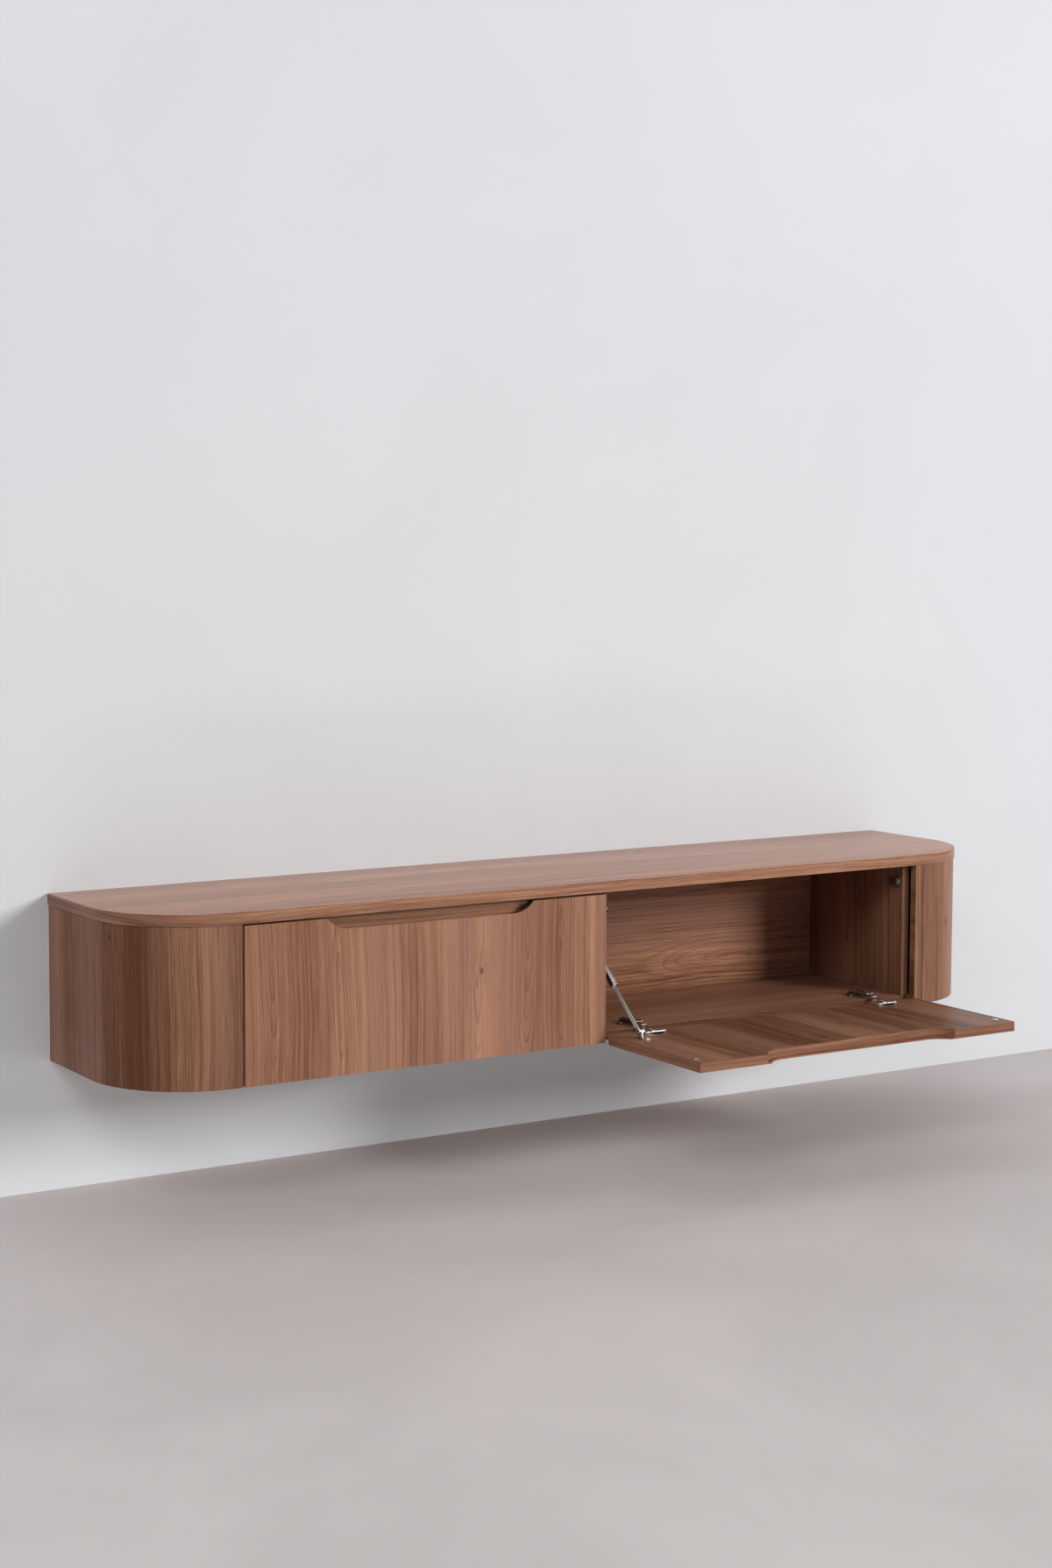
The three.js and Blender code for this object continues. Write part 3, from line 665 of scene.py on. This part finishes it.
class CONSOLE_OT_top(bpy.types.Operator):
    """Top panel with rounded front corners and its edge band"""
    bl_idname = "console.top"
    bl_label = "Top Panel"

    def execute(self, context):
        low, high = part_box("top_panel")
        bm = solid(low, high)
        round_corners(bm, TOP_CORNER, context.scene.console_wood.curve_steps, front=-0.2)
        soften(bm, 0.0009, steps=3)
        bm.normal_update()
        layer = bm.loops.layers.uv.new("grain")
        for face in bm.faces:
            flat = abs(face.normal.z) > 0.7
            face.material_index = 0 if flat else 1
            for loop in face.loops:
                x, y, z = loop.vert.co
                if flat:
                    loop[layer].uv = (x, y)
                else:
                    run = along_rim(x, y, high[0], TOP_CORNER, low[1])
                    loop[layer].uv = (run + 5.0, z + 3.0)
        # The top face's veneer takes a much lighter tone (1.52) than the fronts: this lightness is
        # painted sheen and painted light from above.
        face = walnut("walnut top", 3.0, leaf=0.19, figure=0.7, bands=0.7, streaks=1.7, knots=0.0,
                      tone=1.52, roughness=0.34, shine=0.85)
        band = walnut("walnut top edge", 41.0, leaf=0.30, figure=0.8, streaks=1.2, knots=0.0,
                      tone=1.04, shine=0.30)
        settle("top_board", bm, [face, band], "case", "top_panel")
        return {"FINISHED"}


class CONSOLE_OT_bent_ends(bpy.types.Operator):
    """Bent end panels that wrap from the side to the front"""
    bl_idname = "console.bent_ends"
    bl_label = "Bent Ends"

    def execute(self, context):
        wood = context.scene.console_wood
        # The ends take a darker tone than the flaps, partly their own and partly painted shade.
        for side, sign, seed, bands, tone in (("left", -1, 13.0, 3.0, 0.88),
                                              ("right", 1, 27.0, 1.0, 0.90)):
            node = side + "_curved_end"
            low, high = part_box(node)
            front = low[1]
            cx, cy = END_OUTER - END_CORNER, front + END_CORNER
            start = min(abs(low[0]), abs(high[0]))
            # straight behind the flap, round the corner, and straight back to the wall
            bm = one_side((1.0, END_THICK, high[2] - low[2]),
                          (start - 0.5, front + END_THICK / 2, (low[2] + high[2]) / 2), X)
            ends = pull(bm, bm.faces[:], (cx - start, 0, 0))
            swept = spin(bm, ends, (cx, cy, 0), Z, RIGHT_ANGLE, wood.curve_steps)
            pull(bm, of_kind(swept["geom_last"], BMFace), (0, high[1] - cy, 0))
            if sign < 0:
                bmesh.ops.scale(bm, vec=(-1, 1, 1), verts=bm.verts)
            outward(bm, 0.00002)
            soften(bm, wood.edge_round)
            bm.normal_update()
            layer = bm.loops.layers.uv.new("grain")
            for face in bm.faces:
                level = abs(face.normal.z) > 0.7
                for loop in face.loops:
                    x, y, z = loop.vert.co
                    run = along_rim(x, y, END_OUTER, END_CORNER, front)
                    loop[layer].uv = (run + 9.0, x + y) if level else (z, run)
            material = walnut(f"walnut {side} end", seed, arch=0.10, leaf=0.10, ring=0.0050,
                              figure=0.9, bands=bands, tone=tone, shine=0.15)
            settle(side + "_bent_end", bm, [material], "case", node, crease=12)
        return {"FINISHED"}


class CONSOLE_OT_bottom(bpy.types.Operator):
    """Bottom panel, rounded inside the bent ends"""
    bl_idname = "console.bottom"
    bl_label = "Bottom Panel"

    def execute(self, context):
        wood = context.scene.console_wood
        low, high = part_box("bottom_panel")
        bm = solid(low, high)
        round_corners(bm, END_CORNER - FLOOR_GAP, wood.curve_steps, front=-0.2)
        # the middle of the front edge is set back behind the flaps
        notch = solid((-BAYS_HALF, low[1] - 0.01, low[2] - 0.01),
                      (BAYS_HALF, BAYS_FRONT, high[2] + 0.01))
        bm = carve(context, bm, [new_object("notch tool", notch, [])], wood.edge_round)
        lay_grain(bm, X, Z, (1.3, 0.4))
        for face in bm.faces:
            across = abs(face.calc_center_median().x)
            face.material_index = int(face.normal.y < -0.7 and across < BAYS_HALF)
        # The front edge in the bays is a dark copy of the walnut, a painted shade that merges it
        # into the shadow under the flap.
        band = walnut("walnut edge band", 61.0, figure=0.5, knots=0.0, tone=0.5, shine=0.15)
        settle("bottom_board", bm, [inside_walnut(), band], "case", "bottom_panel",
               crease=12)
        return {"FINISHED"}


def inside_walnut():
    return walnut("walnut inside", 31.0, leaf=0.22, ring=0.0060, figure=0.8, knots=0.4,
                  tone=0.88, shine=0.2)


class CONSOLE_OT_uprights(bpy.types.Operator):
    """Partitions and the divider between the bays"""
    bl_idname = "console.uprights"
    bl_label = "Uprights"

    def execute(self, context):
        # The uprights take a dark tone, a painted shade for the shadowed walls of the bays.
        veneer = walnut("walnut uprights", 47.0, arch=-3.1, figure=0.7, bands=1.6, knots=0.6,
                        tone=0.74, shine=0.06)
        for i, node in enumerate(("left_partition", "centre_divider", "right_partition")):
            board(node, Z, X, veneer, (0.31 * i, 0.23 * i))
        return {"FINISHED"}


class CONSOLE_OT_backs(bpy.types.Operator):
    """Back panels of the bays and of the hollow ends"""
    bl_idname = "console.backs"
    bl_label = "Back Panels"

    def execute(self, context):
        veneer = walnut("walnut backs", 5.0, arch=-3.56, leaf=0.30, ring=0.0075, bands=1.7,
                        streaks=1.6, knots=0.0, tone=1.07, shine=0.2, slope=0.19, depth=0.045,
                        heart=0.28, spread=0.0)
        for node, start in (("left_back_panel", 0.9), ("right_back_panel", 0.0),
                            ("left_end_back", 1.6), ("right_end_back", -0.7)):
            board(node, X, Y, veneer, (start, 0.06))
        return {"FINISHED"}


class CONSOLE_OT_front_rail(bpy.types.Operator):
    """Rail behind the scoop of the closed flap"""
    bl_idname = "console.front_rail"
    bl_label = "Front Rail"

    def execute(self, context):
        board("left_front_rail", X, Y, inside_walnut(), (2.6, 0.9))
        return {"FINISHED"}


def scoop_cutter(size, depth, run, low):
    """Tool for a scoop with arcs at its ends, from a height up through the open flap."""
    edge, high = EDGE_NEAR - FLAP_HEIGHT, INNER_UP + 1.0
    radius = (run * run + depth * depth) / (2 * depth)
    flat = size / 2 - run
    bm = bmesh.new()
    foot = bm.verts.new((flat, edge + depth, low))
    spin(bm, [foot], (flat, edge + depth - radius, low), -Z, math.asin(run / radius), 16)
    bm.verts.new((size / 2, edge - 2.0, low))
    half = bm.verts[:] + bm.edges[:]
    bmesh.ops.mirror(bm, geom=half, matrix=Matrix(), merge_dist=-1.0, axis="X")
    top = bmesh.ops.duplicate(bm, geom=bm.verts[:])
    shift(bm, (0, 0, high - low), of_kind(top["geom"], BMVert))
    hull = bmesh.ops.convex_hull(bm, input=bm.verts[:])
    bmesh.ops.delete(bm, geom=of_kind(hull["geom_interior"], BMVert), context="VERTS")
    outward(bm)
    return new_object("scoop tool", bm, [])


def flap_mesh(context):
    """The open flap about its hinge axis, in millimetres, with scoop and cup bores."""
    bm = solid((-FLAP_HALF, EDGE_NEAR - FLAP_HEIGHT, OUTER_UP), (FLAP_HALF, EDGE_NEAR, INNER_UP))
    # the scoop goes through, and is wider on the inside, which leaves a thin lip
    tools = [scoop_cutter(*OUTER_SCOOP, OUTER_UP - 1.0),
             scoop_cutter(*INNER_SCOOP, OUTER_UP + LIP)]
    for x in (-HINGE_X, HINGE_X):
        bore = bmesh.new()
        add_round(bore, (x, CUP_Y, INNER_UP - BORE_DEPTH), Z, BORE_RADIUS, 13.0, 0, 48)
        tools.append(new_object("bore tool", bore, []))
    return carve(context, bm, tools, 0.6)


class CONSOLE_OT_flaps(bpy.types.Operator):
    """Drop-down flaps with a finger scoop and a thin lip"""
    bl_idname = "console.flaps"
    bl_label = "Flaps"

    def execute(self, context):
        for side, centre, opened in SIDES:
            bm = flap_mesh(context)
            lay_grain(bm, -Y, Z, unit=MM)
            for face in bm.faces:
                face.material_index = int(face.normal.z > 0.7)
            front = walnut(f"walnut {side} flap", 29.0 if opened else 17.0, arch=-3.15,
                           figure=1.15, bands=1.6, streaks=0.8, tone=1.04, slope=0.085,
                           depth=0.028)
            # The inside of each flap is a darker copy of its front, a painted shade for the face
            # that looks up into dim light.
            inside = walnut(f"walnut {side} flap inside", 29.0 if opened else 37.0, arch=-0.15,
                            figure=1.3, bands=2.6, streaks=1.3, tone=0.80, shine=0.08)
            settle(side + "_flap_board", bm, [front, inside], side + "_flap",
                   side + "_flap", place=on_flap(centre, opened), crease=20)
        return {"FINISHED"}


def box_mm(node):
    """Low and high corner of a node's solid in millimetres, and the middle between them."""
    low, high = (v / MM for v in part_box(node))
    return low, high, (low + high) / 2


def in_case(centre):
    """From millimetres about the hinge axis to the frame, for what stays on the case."""
    return Matrix.Translation((centre * MM, AXIS_Y, AXIS_Z)) @ FROM_MM


def pivoted(place, at, angle):
    """A place inside another one, turned about X."""
    return place @ Matrix.Translation(at) @ Matrix.Rotation(angle, 4, "X")


def on_flap(centre, opened):
    """From millimetres about the hinge axis to the frame, for what swings with the flap."""
    return pivoted(in_case(centre), (0, 0, 0), 0.0 if opened else -RIGHT_ANGLE)


class CONSOLE_OT_hinges(bpy.types.Operator):
    """Concealed hinges: wing plate, arm, pin, link and cup"""
    bl_idname = "console.hinges"
    bl_label = "Hinges"

    def execute(self, context):
        # Plate and arm wear the shaded nickel, a painted shade; link, pin and cup wear the pale
        # nickel, partly painted light.
        bright, shaded = looks("nickel", "recess", "smoke"), looks("smoke", "recess")
        for side, centre, opened in SIDES:
            for end, x in (("left", -HINGE_X), ("right", HINGE_X)):
                tag = f"{side}_flap_{end}_hinge"
                place = in_case(centre + x)
                swing = LINK_DROOP if opened else -RIGHT_ANGLE
                pivot = pivoted(place, (0, *KNUCKLE), swing)
                for part, name, look, body, spot in (
                        ("plate", "wing_plate", shaded, "case", place),
                        ("arm", "adjusting_arm", shaded, "case", place),
                        ("pin", "riveted_pin", bright, "case", place),
                        ("link", "twin_link", bright, tag + "_link", pivot),
                        ("cup", "pressed_cup", bright, side + "_flap",
                         on_flap(centre + x, opened))):
                    bm = bmesh.new()
                    getattr(self, part)(bm)
                    settle(f"{tag}_{name}", bm, look, body, f"{tag}_{part}", spot)
        return {"FINISHED"}

    def plate(self, bm):
        add_block(bm, (-9, 45.5, 22.8), (9, 87.5, 25.8), 0.6)
        add_plate(bm, (-23, 57.5, 22.8), (23, 76.5, 24.8), 6.0)
        for x in (-17.0, 17.0):
            add_screw(bm, (x, 67.0, 24.6), Z, 4.2, 1.5)
        add_screw(bm, (0, 83.0, 25.6), Z, 2.4, 0.8)

    def arm(self, bm):
        y, z = KNUCKLE
        body = [(33.0, 26.1), (85.8, 26.1), (85.8, 29.6), (80.0, 31.2), (64.0, 34.1), (33.0, 34.1)]
        add_profile(bm, body, -7.0, 7.0, 1.1)
        ear = [(36.0, 26.1), (36.0, 34.1), (29.0, 36.1)]
        ear += arc_points((y, z), 4.2, 80, 200, 10) + [(24.2, 27.5), (25.5, 26.1)]
        for low in (-7.0, 3.4):
            add_profile(bm, ear, low, low + 3.6, 0.4)
        add_round(bm, (0, 43.5, 33.6), Z, 4.0, 1.1, 0.3)
        add_screw(bm, (0, 43.5, 34.4), Z, 3.0, 0.8)
        add_screw(bm, (0, 56.0, 33.8), Z, 3.4, 1.0)
        # the small plate on the arm takes the recess colour, a painted shade for its slot
        add_plate(bm, (-2.6, 68.0, 30.4), (2.6, 80.0, 33.0), 2.4, 2, 0.3, 1)

    def pin(self, bm):
        y, z = KNUCKLE
        add_round(bm, (-7.6, y, z), X, 2.0, 15.2, 0.3)
        for x, axis in ((-7.0, -X), (7.0, X)):
            add_round(bm, (x, y, z), axis, 2.9, 0.8, 0.35)

    def link(self, bm):
        outline = [*arc_points((0, 0), 2.8, -90, 90, 10), (-12.0, 2.1), (-36.0, 1.7), (-47.1, 2.5),
                   *arc_points((-47.1, 0), 2.5, 90, 270, 10)[1:], (-34.0, -2.5),
                   (-12.0, -2.5)]
        for low in (-3.0, 1.0):
            add_profile(bm, outline, low, low + 2.0, 0.3)
        add_block(bm, (-1.2, -38.0, -1.7), (1.2, -6.0, 1.2), 0.2)
        hood = [(-19.5, -7.6), (-12.0, -7.6), (-10.0, -3.0), (-10.0, 1.2), (-12.0, 2.6),
                (-18.0, 2.6), (-19.5, 1.2)]
        add_profile(bm, hood, -5.6, 5.6, 0.8)
        for y in (-47.1, -24.0):
            add_round(bm, (-3.4, y, 0.0), X, 1.5, 6.8, 0.3, 16)

    def cup(self, bm):
        scratch = bmesh.new()
        line = [(0.0, 9.3), (15.2, 9.3), (16.4, 10.6), (16.4, 19.6), (16.8, 20.0), (17.7, 20.1),
                (18.2, 19.9), (18.2, 19.6), (17.5, 19.4), (17.5, 9.2), (16.6, 8.3), (0.0, 8.3)]
        verts = [scratch.verts.new((a, 0, b)) for a, b in line]
        edges = [scratch.edges.new(pair) for pair in zip(verts, verts[1:])]
        spin(scratch, verts + edges, (0, 0, 0), Z, FULL_TURN, 48)
        outward(scratch, 0.001)
        shift(scratch, (0, CUP_Y, 0))
        # the bowl of the cup takes the recess colour, a painted shade for the dark inside of the
        # plated cup
        pour(scratch, bm, 1)
        # flange wings with their screws, and the raised bar that joins them
        for low, high, screw, post in ((-26.0, -13.0, -20.6, -8.0), (13.0, 26.0, 20.6, 8.0)):
            add_plate(bm, (low, CUP_Y + 1.0, 19.7), (high, CUP_Y + 12.0, 20.9), 3.4)
            add_screw(bm, (screw, CUP_Y + 7.0, 20.7), Z, 3.0, 0.7)
            add_block(bm, (post - 1.2, CUP_Y - 4, 9.0), (post + 1.2, CUP_Y + 6, 14.0))
        add_plate(bm, (-25.0, CUP_Y - 3.0, 19.7), (25.0, CUP_Y + 3.4, 23.0), 2.2)
        add_round(bm, (-9.0, CUP_Y + 2.0, 12.2), X, 1.4, 18.0, 0.2, 16)


class CONSOLE_OT_stays(bpy.types.Operator):
    """Lid stays: wall bracket, sleeve, twin-bar rod and foot"""
    bl_idname = "console.stays"
    bl_label = "Lid Stays"

    def execute(self, context):
        bright = looks("nickel", "recess")
        for side, centre, opened in SIDES:
            tag = side + "_stay"
            place = in_case(centre)
            lean = STAY_RISE + (0.0 if opened else STAY_SWING)
            pivot = pivoted(place, (STAY_X, *STAY_PIVOT), lean)
            slid = pivot @ Matrix.Translation((0, 0.0 if opened else STAY_TRAVEL, 0))
            bm = bmesh.new()
            self.bracket(bm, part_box(tag + "_bracket")[0].x / MM - centre)
            settle(tag + "_wall_bracket", bm, bright, "case", tag + "_bracket", place)
            # The rod wears the darker steel in place of its nickel, a painted shade for the dim
            # twin bars.
            for part, name, look, body, slot, spot in (
                    ("sleeve", "drawn_sleeve", looks("steel", "recess", "nickel"),
                     tag + "_sleeve", "steel", pivot),
                    ("rod", "twin_rod", looks("steel"), tag + "_rod", "nickel", slid),
                    ("foot", "flap_foot", bright, side + "_flap", "nickel",
                     on_flap(centre, opened))):
                bm = bmesh.new()
                getattr(self, part)(bm)
                settle(f"{tag}_{name}", bm, look, body, f"{tag}_{part}", spot)
        return {"FINISHED"}

    def bracket(self, bm, wall):
        y, z = STAY_PIVOT
        add_plate(bm, (wall, y - 10, z - 23), (wall + 2.5, y + 10, z + 23), 6.0, 0, 0.4)
        for dz in (-16.0, 16.0):
            add_screw(bm, (wall + 2.3, y, z + dz), X, 3.6, 1.2)
        add_round(bm, (wall + 2.0, y, z), X, 5.4, 3.0, 0.5)
        add_round(bm, (wall + 2.0, y, z), X, 3.1, STAY_X + 4.8 - wall - 2.0, 0.1)
        add_round(bm, (STAY_X + 4.8, y, z), X, 5.5, 1.6, 0.7)

    def sleeve(self, bm):
        scratch = solid((-4.5, -126.0, -6.5), (4.5, -7.0, 6.5))
        mouth = [f for f in scratch.faces if f.normal.y < -0.9]
        bmesh.ops.inset_region(scratch, faces=mouth, thickness=1.6, use_even_offset=True)
        pull(scratch, mouth, (0, SLEEVE_HOLE, 0))
        for sign in (-1, 1):
            cheek = [f for f in scratch.faces if f.normal.x * sign > 0.9 and f.calc_area() > 900
                     and abs(f.calc_center_median().x) > 4]
            bmesh.ops.inset_region(scratch, faces=cheek, thickness=1.5, depth=-0.5,
                                   use_even_offset=True)
            # the inset cheeks take the recess colour, a painted shade for the dark sides of the
            # sleeve
            for face in cheek:
                face.material_index = 1
        soften(scratch, 0.5)
        pour(scratch, bm, 0, {1: 1})
        add_round(bm, (-4.5, 0, 0), X, 8.0, 9.0, 0.6, 32)
        for low, high in ((-7.0, -5.2), (5.2, 7.0)):
            add_block(bm, (-5.0, -126.0, low), (5.0, -121.5, high), paint=2)

    def rod(self, bm):
        end = -STAY_LENGTH
        for low, high in ((-4.0, -2.2), (2.2, 4.0)):
            add_block(bm, (-1.7, end + 4.0, low), (1.7, -113.0, high), 0.7, 3)
        add_block(bm, (-2.2, -118.0, -4.2), (2.2, -113.0, 4.2), 0.6)
        add_block(bm, (-2.2, end + 3.6, -4.4), (2.2, end + 11.0, 4.4), 0.6)
        add_ring(bm, (0, end, 0), 5.0, 2.7, 4.4)

    def foot(self, bm):
        near = STAY_X + 2.8
        y, z = STAY_EYE
        add_plate(bm, (near, y - 17, 19.8), (near + 16, y + 17, 21.8), 4.5)
        for dy in (-12.0, 12.0):
            add_screw(bm, (near + 9.2, y + dy, 21.6), Z, 3.3, 1.2)
        ear = [(y - 8.0, 19.8), (y + 8.0, 19.8), (y + 8.0, 22.5), (y + 5.0, z)]
        ear += arc_points((y, z), 5.0, 0, 180, 12)[1:] + [(y - 8.0, 22.5)]
        add_profile(bm, ear, near, near + 2.4, 0.4)
        add_round(bm, (near + 1.2, y, z), X, 2.4, 4.0, 0.2)
        add_round(bm, (near + 4.0, y, z), X, 4.2, 5.2, 1.2)


class CONSOLE_OT_catches(bpy.types.Operator):
    """Magnetic catches on the walls and strike plates on the flaps"""
    bl_idname = "console.catches"
    bl_label = "Catches"

    def execute(self, context):
        for side, centre, opened in SIDES:
            for end, inner in (("left", 1), ("right", -1)):
                self.catch(f"{side}_{end}_catch", inner)
                self.strike(f"{side}_{end}_strike", side + "_flap", opened)
        return {"FINISHED"}

    def catch(self, node, inner):
        low, high, mid = box_mm(node)
        bm = bmesh.new()
        add_block(bm, (low.x, low.y + 1.5, low.z), high, 1.6, 3)
        # the plunger wears the shaded nickel, a painted shade
        add_round(bm, (mid.x, low.y, mid.z), Y, 3.4, 6.0, 0.5, paint=1)
        add_round(bm, (mid.x, low.y + 0.8, mid.z), Y, 5.0, 4.0, 0.3)
        cheek = high.x if inner > 0 else low.x
        add_screw(bm, (cheek - 0.6 * inner, mid.y + 2.0, mid.z), X * inner, 3.4, 1.0, 0, 2)
        look = looks("plastic", "smoke", "recess")
        settle(node + "_body", bm, look, "case", node, FROM_MM)

    def strike(self, node, body, opened):
        low, high, mid = box_mm(node)
        bm = bmesh.new()
        at, axis = ((mid.x, mid.y, low.z), Z) if opened else ((mid.x, low.y, mid.z), Y)
        add_round(bm, at, axis, 6.5, 1.0, 0.3, 32)
        add_screw(bm, Vector(at) + axis * 0.8, axis, 2.6, 0.7)
        settle(node + "_disc", bm, looks("nickel", "recess"), body, node, FROM_MM)


class CONSOLE_OT_wall_fittings(bpy.types.Operator):
    """Wall rail with its screws, and the hangers that drop over it"""
    bl_idname = "console.wall_fittings"
    bl_label = "Wall Fittings"

    def execute(self, context):
        look = looks("steel", "recess", "nickel")
        bm = bmesh.new()
        rail = [(-0.1, -20), (-0.1, 20), (-5.5, 20), (-5.5, 30), (-8, 30), (-8, 17.5),
                (-2.5, 17.5), (-2.5, -20)]
        add_profile(bm, rail, -810.0, 810.0, 0.3)
        for i in range(9):
            x = -760.0 + 190.0 * i
            # the thin near-black plate behind each washer is painted shade
            add_plate(bm, (x - 9.0, -2.7, -7.5), (x + 9.0, -2.4, -0.5), 3.4, 1, 0.1, paint=1)
            add_round(bm, (x, -2.5, -4.0), -Y, 6.4, 0.9, 0.3, 24, 2)
            add_screw(bm, (x, -3.3, -4.0), -Y, 4.2, 1.4, 2)
        settle("wall_rail_pressing", bm, look, "case", "wall_rail", FROM_MM)
        for node in ("left_hanger", "centre_hanger", "right_hanger"):
            low, high, mid = box_mm(node)
            bm = bmesh.new()
            hook = [(-0.5, 20.5), (-0.5, 33.0), (-57.7, 33.0), (-57.7, -30.0), (-55.2, -30.0),
                    (-55.2, 30.5), (-5.0, 30.5), (-5.0, 20.5)]
            add_profile(bm, hook, low.x, high.x, 0.5)
            for x, z in ((-9, 12), (9, 12), (-9, -16), (9, -16)):
                add_screw(bm, (mid.x + x, -55.4, z), Y, 3.8, 1.5, 2)
            add_block(bm, (mid.x - 2.0, -50.0, 26.0), (mid.x + 2.0, -12.0, 30.8), 0.6)
            settle(node + "_pressing", bm, look, "case", node, FROM_MM)
        return {"FINISHED"}


class CONSOLE_OT_stage(bpy.types.Operator):
    """Plain wall and floor, soft studio light and the camera"""
    bl_idname = "console.stage"
    bl_label = "Stage"

    def execute(self, context):
        scene = context.scene
        stage = scene.console_stage
        drop = -stage.floor_drop
        upright = Matrix.Rotation(RIGHT_ANGLE, 4, "X")
        wall = self.sheet("stage_wall", self.backdrop("painted wall", stage.wall, 0.85, 0.015),
                          Matrix.Translation((0, 0.001, 3.0 + drop)) @ upright, (9.0, 3.0))
        self.sheet("stage_floor", self.backdrop("pale floor", stage.floor, 0.70, 0.05),
                   Matrix.Translation((0, -2.6 + 0.001, drop)), (9.0, 2.6))
        bare = [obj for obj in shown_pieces()
                if obj.data.materials[0].name.endswith(("nickel", "steel"))]
        fittings = self.gather("fittings", bare)
        pieces = self.gather("pieces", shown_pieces())
        window = (5.4, -8.2, 3.0), (0.2, -0.2, 0.0), 2.7, 2.7
        behind = (0.0, 5.0, -0.25), (0.0, 0.0, -0.15), 1.8, 0.3
        self.lamp("key", *window, stage.key)
        self.lamp("fill", (-4.3, -4.2, 4.0), (-0.6, -0.2, 0.0), 3.4, 2.6, stage.fill)
        # the room's floor gives back some light to the foot of the wall
        self.lamp("bounce", (-0.6, -0.9, -0.41), (-0.6, 0.0, -0.38), 3.4, 0.15, stage.bounce,
                  self.gather("wall", [wall]))
        # the back light passes the wall, and falls on what faces it alone
        self.lamp("back light", *behind, stage.rear, pieces, pieces)
        # the fittings alone mirror a lamp, so that the lacquer keeps an even satin
        self.lamp("gleam", *window, stage.key, fittings, glossy=True)
        self.lamp("back gleam", *behind, stage.rear * 0.4, fittings, pieces, True)
        self.world(scene, stage)
        data = bpy.data.cameras.new("camera")
        data.lens, data.sensor_width = 56.37, 36.0
        data.shift_x, data.shift_y = 0.0982, -0.0375
        data.clip_start, data.clip_end = 0.05, 60.0
        camera = bpy.data.objects.new("camera", data)
        camera.location = (-2.73393, -4.23263, 0.72471)
        camera.rotation_euler = (math.radians(85.65), 0.0, math.radians(-29.87))
        scene.collection.objects.link(camera)
        scene.camera = camera
        scene.view_settings.view_transform = "Standard"
        return {"FINISHED"}

    def gather(self, name, objects):
        linked = bpy.data.collections.new(name)
        for obj in objects:
            linked.objects.link(obj)
        return linked

    def sheet(self, name, material, place, half):
        bm = bmesh.new()
        bmesh.ops.create_grid(bm, x_segments=1, y_segments=1, size=1.0)
        bmesh.ops.scale(bm, vec=(*half, 1.0), verts=bm.verts)
        place_at(bm, place)
        obj = new_object(name, bm, [material])
        obj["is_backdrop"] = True
        return obj

    def backdrop(self, name, tint, roughness, mottle):
        """Plain matt surface that is clear from behind, so that the back can be seen."""
        material, shader, r = surface(name)
        cloud = r.noise(r.scaled(r.place(), 1.6), 6.0, 0.6, 0.6)
        tints = [[c * gain for c in tint] for gain in (1 - mottle, 1 + mottle)]
        r.give(shader, "Base Color", r.mix(r.span(cloud, 0.3, 0.7), *tints))
        r.give(shader, "Roughness", r.span(cloud, 0.3, 0.7, roughness - 0.04, roughness + 0.04))
        r.give(shader, "Specular IOR Level", 0.2)
        behind = r.add("NewGeometry").outputs["Backfacing"]
        clear = r.add("BsdfTransparent")
        output = material.node_tree.nodes["Material Output"]
        r.give(output, "Surface", r.blend(behind, shader, clear))
        return material

    def lamp(self, name, at, aim, wide, high, power, lit=None, shading=None, glossy=False):
        data = bpy.data.lights.new(name, "AREA")
        data.shape, data.size, data.size_y, data.energy = "RECTANGLE", wide, high, power
        obj = bpy.data.objects.new(name, data)
        obj.location = at
        obj.rotation_euler = (Vector(aim) - Vector(at)).to_track_quat("-Z", "Y").to_euler()
        obj.visible_glossy = glossy
        obj.visible_camera = False
        obj.light_linking.receiver_collection = lit
        obj.light_linking.blocker_collection = shading
        bpy.context.scene.collection.objects.link(obj)

    def world(self, scene, stage):
        scene.world = bpy.data.worlds.new("room")
        scene.world.use_nodes = True
        scene.world.node_tree.nodes.clear()
        r = Recipe(scene.world.node_tree)
        path = r.add("LightPath").outputs
        seen = r.math("MAXIMUM", path["Is Camera Ray"],
                      r.math("MAXIMUM", path["Is Glossy Ray"], path["Is Transmission Ray"]))
        pale = r.add("Background", Color=(0.66, 0.66, 0.67, 1.0), Strength=1.0)
        room = r.add("Background", Color=(0.97, 0.985, 1.0, 1.0), Strength=stage.sky)
        r.add("OutputWorld", Surface=r.blend(seen, room, pale))


STEPS = (CONSOLE_OT_top, CONSOLE_OT_bottom, CONSOLE_OT_bent_ends,
         CONSOLE_OT_uprights, CONSOLE_OT_backs, CONSOLE_OT_front_rail, CONSOLE_OT_flaps,
         CONSOLE_OT_hinges, CONSOLE_OT_stays, CONSOLE_OT_catches, CONSOLE_OT_wall_fittings,
         CONSOLE_OT_stage)


class CONSOLE_PT_panel(bpy.types.Panel):
    """Lists the console's pieces and the sizes and colours that can be changed"""
    bl_idname = "CONSOLE_PT_panel"
    bl_label = "Media Console"
    bl_space_type = "VIEW_3D"
    bl_region_type = "UI"
    bl_category = "Console"

    def draw(self, context):
        layout = self.layout
        for step in STEPS:
            layout.operator(step.bl_idname)
        for name, group in GROUPS.items():
            box = layout.box()
            for key in group.__annotations__:
                box.prop(getattr(context.scene, name), key)


GROUPS = {"console_wood": ConsoleWood, "console_metal": ConsoleMetal,
          "console_stage": ConsoleStage}
CLASSES = (*GROUPS.values(), *STEPS, CONSOLE_PT_panel)


def register():
    for cls in CLASSES:
        bpy.utils.register_class(cls)
    for name, group in GROUPS.items():
        setattr(bpy.types.Scene, name, PointerProperty(type=group))


def unregister():
    for name in GROUPS:
        delattr(bpy.types.Scene, name)
    for cls in reversed(CLASSES):
        bpy.utils.unregister_class(cls)


def main():
    register()
    for step in STEPS:
        group, name = step.bl_idname.split(".")
        getattr(getattr(bpy.ops, group), name)()
    bpy.context.view_layer.update()


if __name__ == "__main__":
    main()
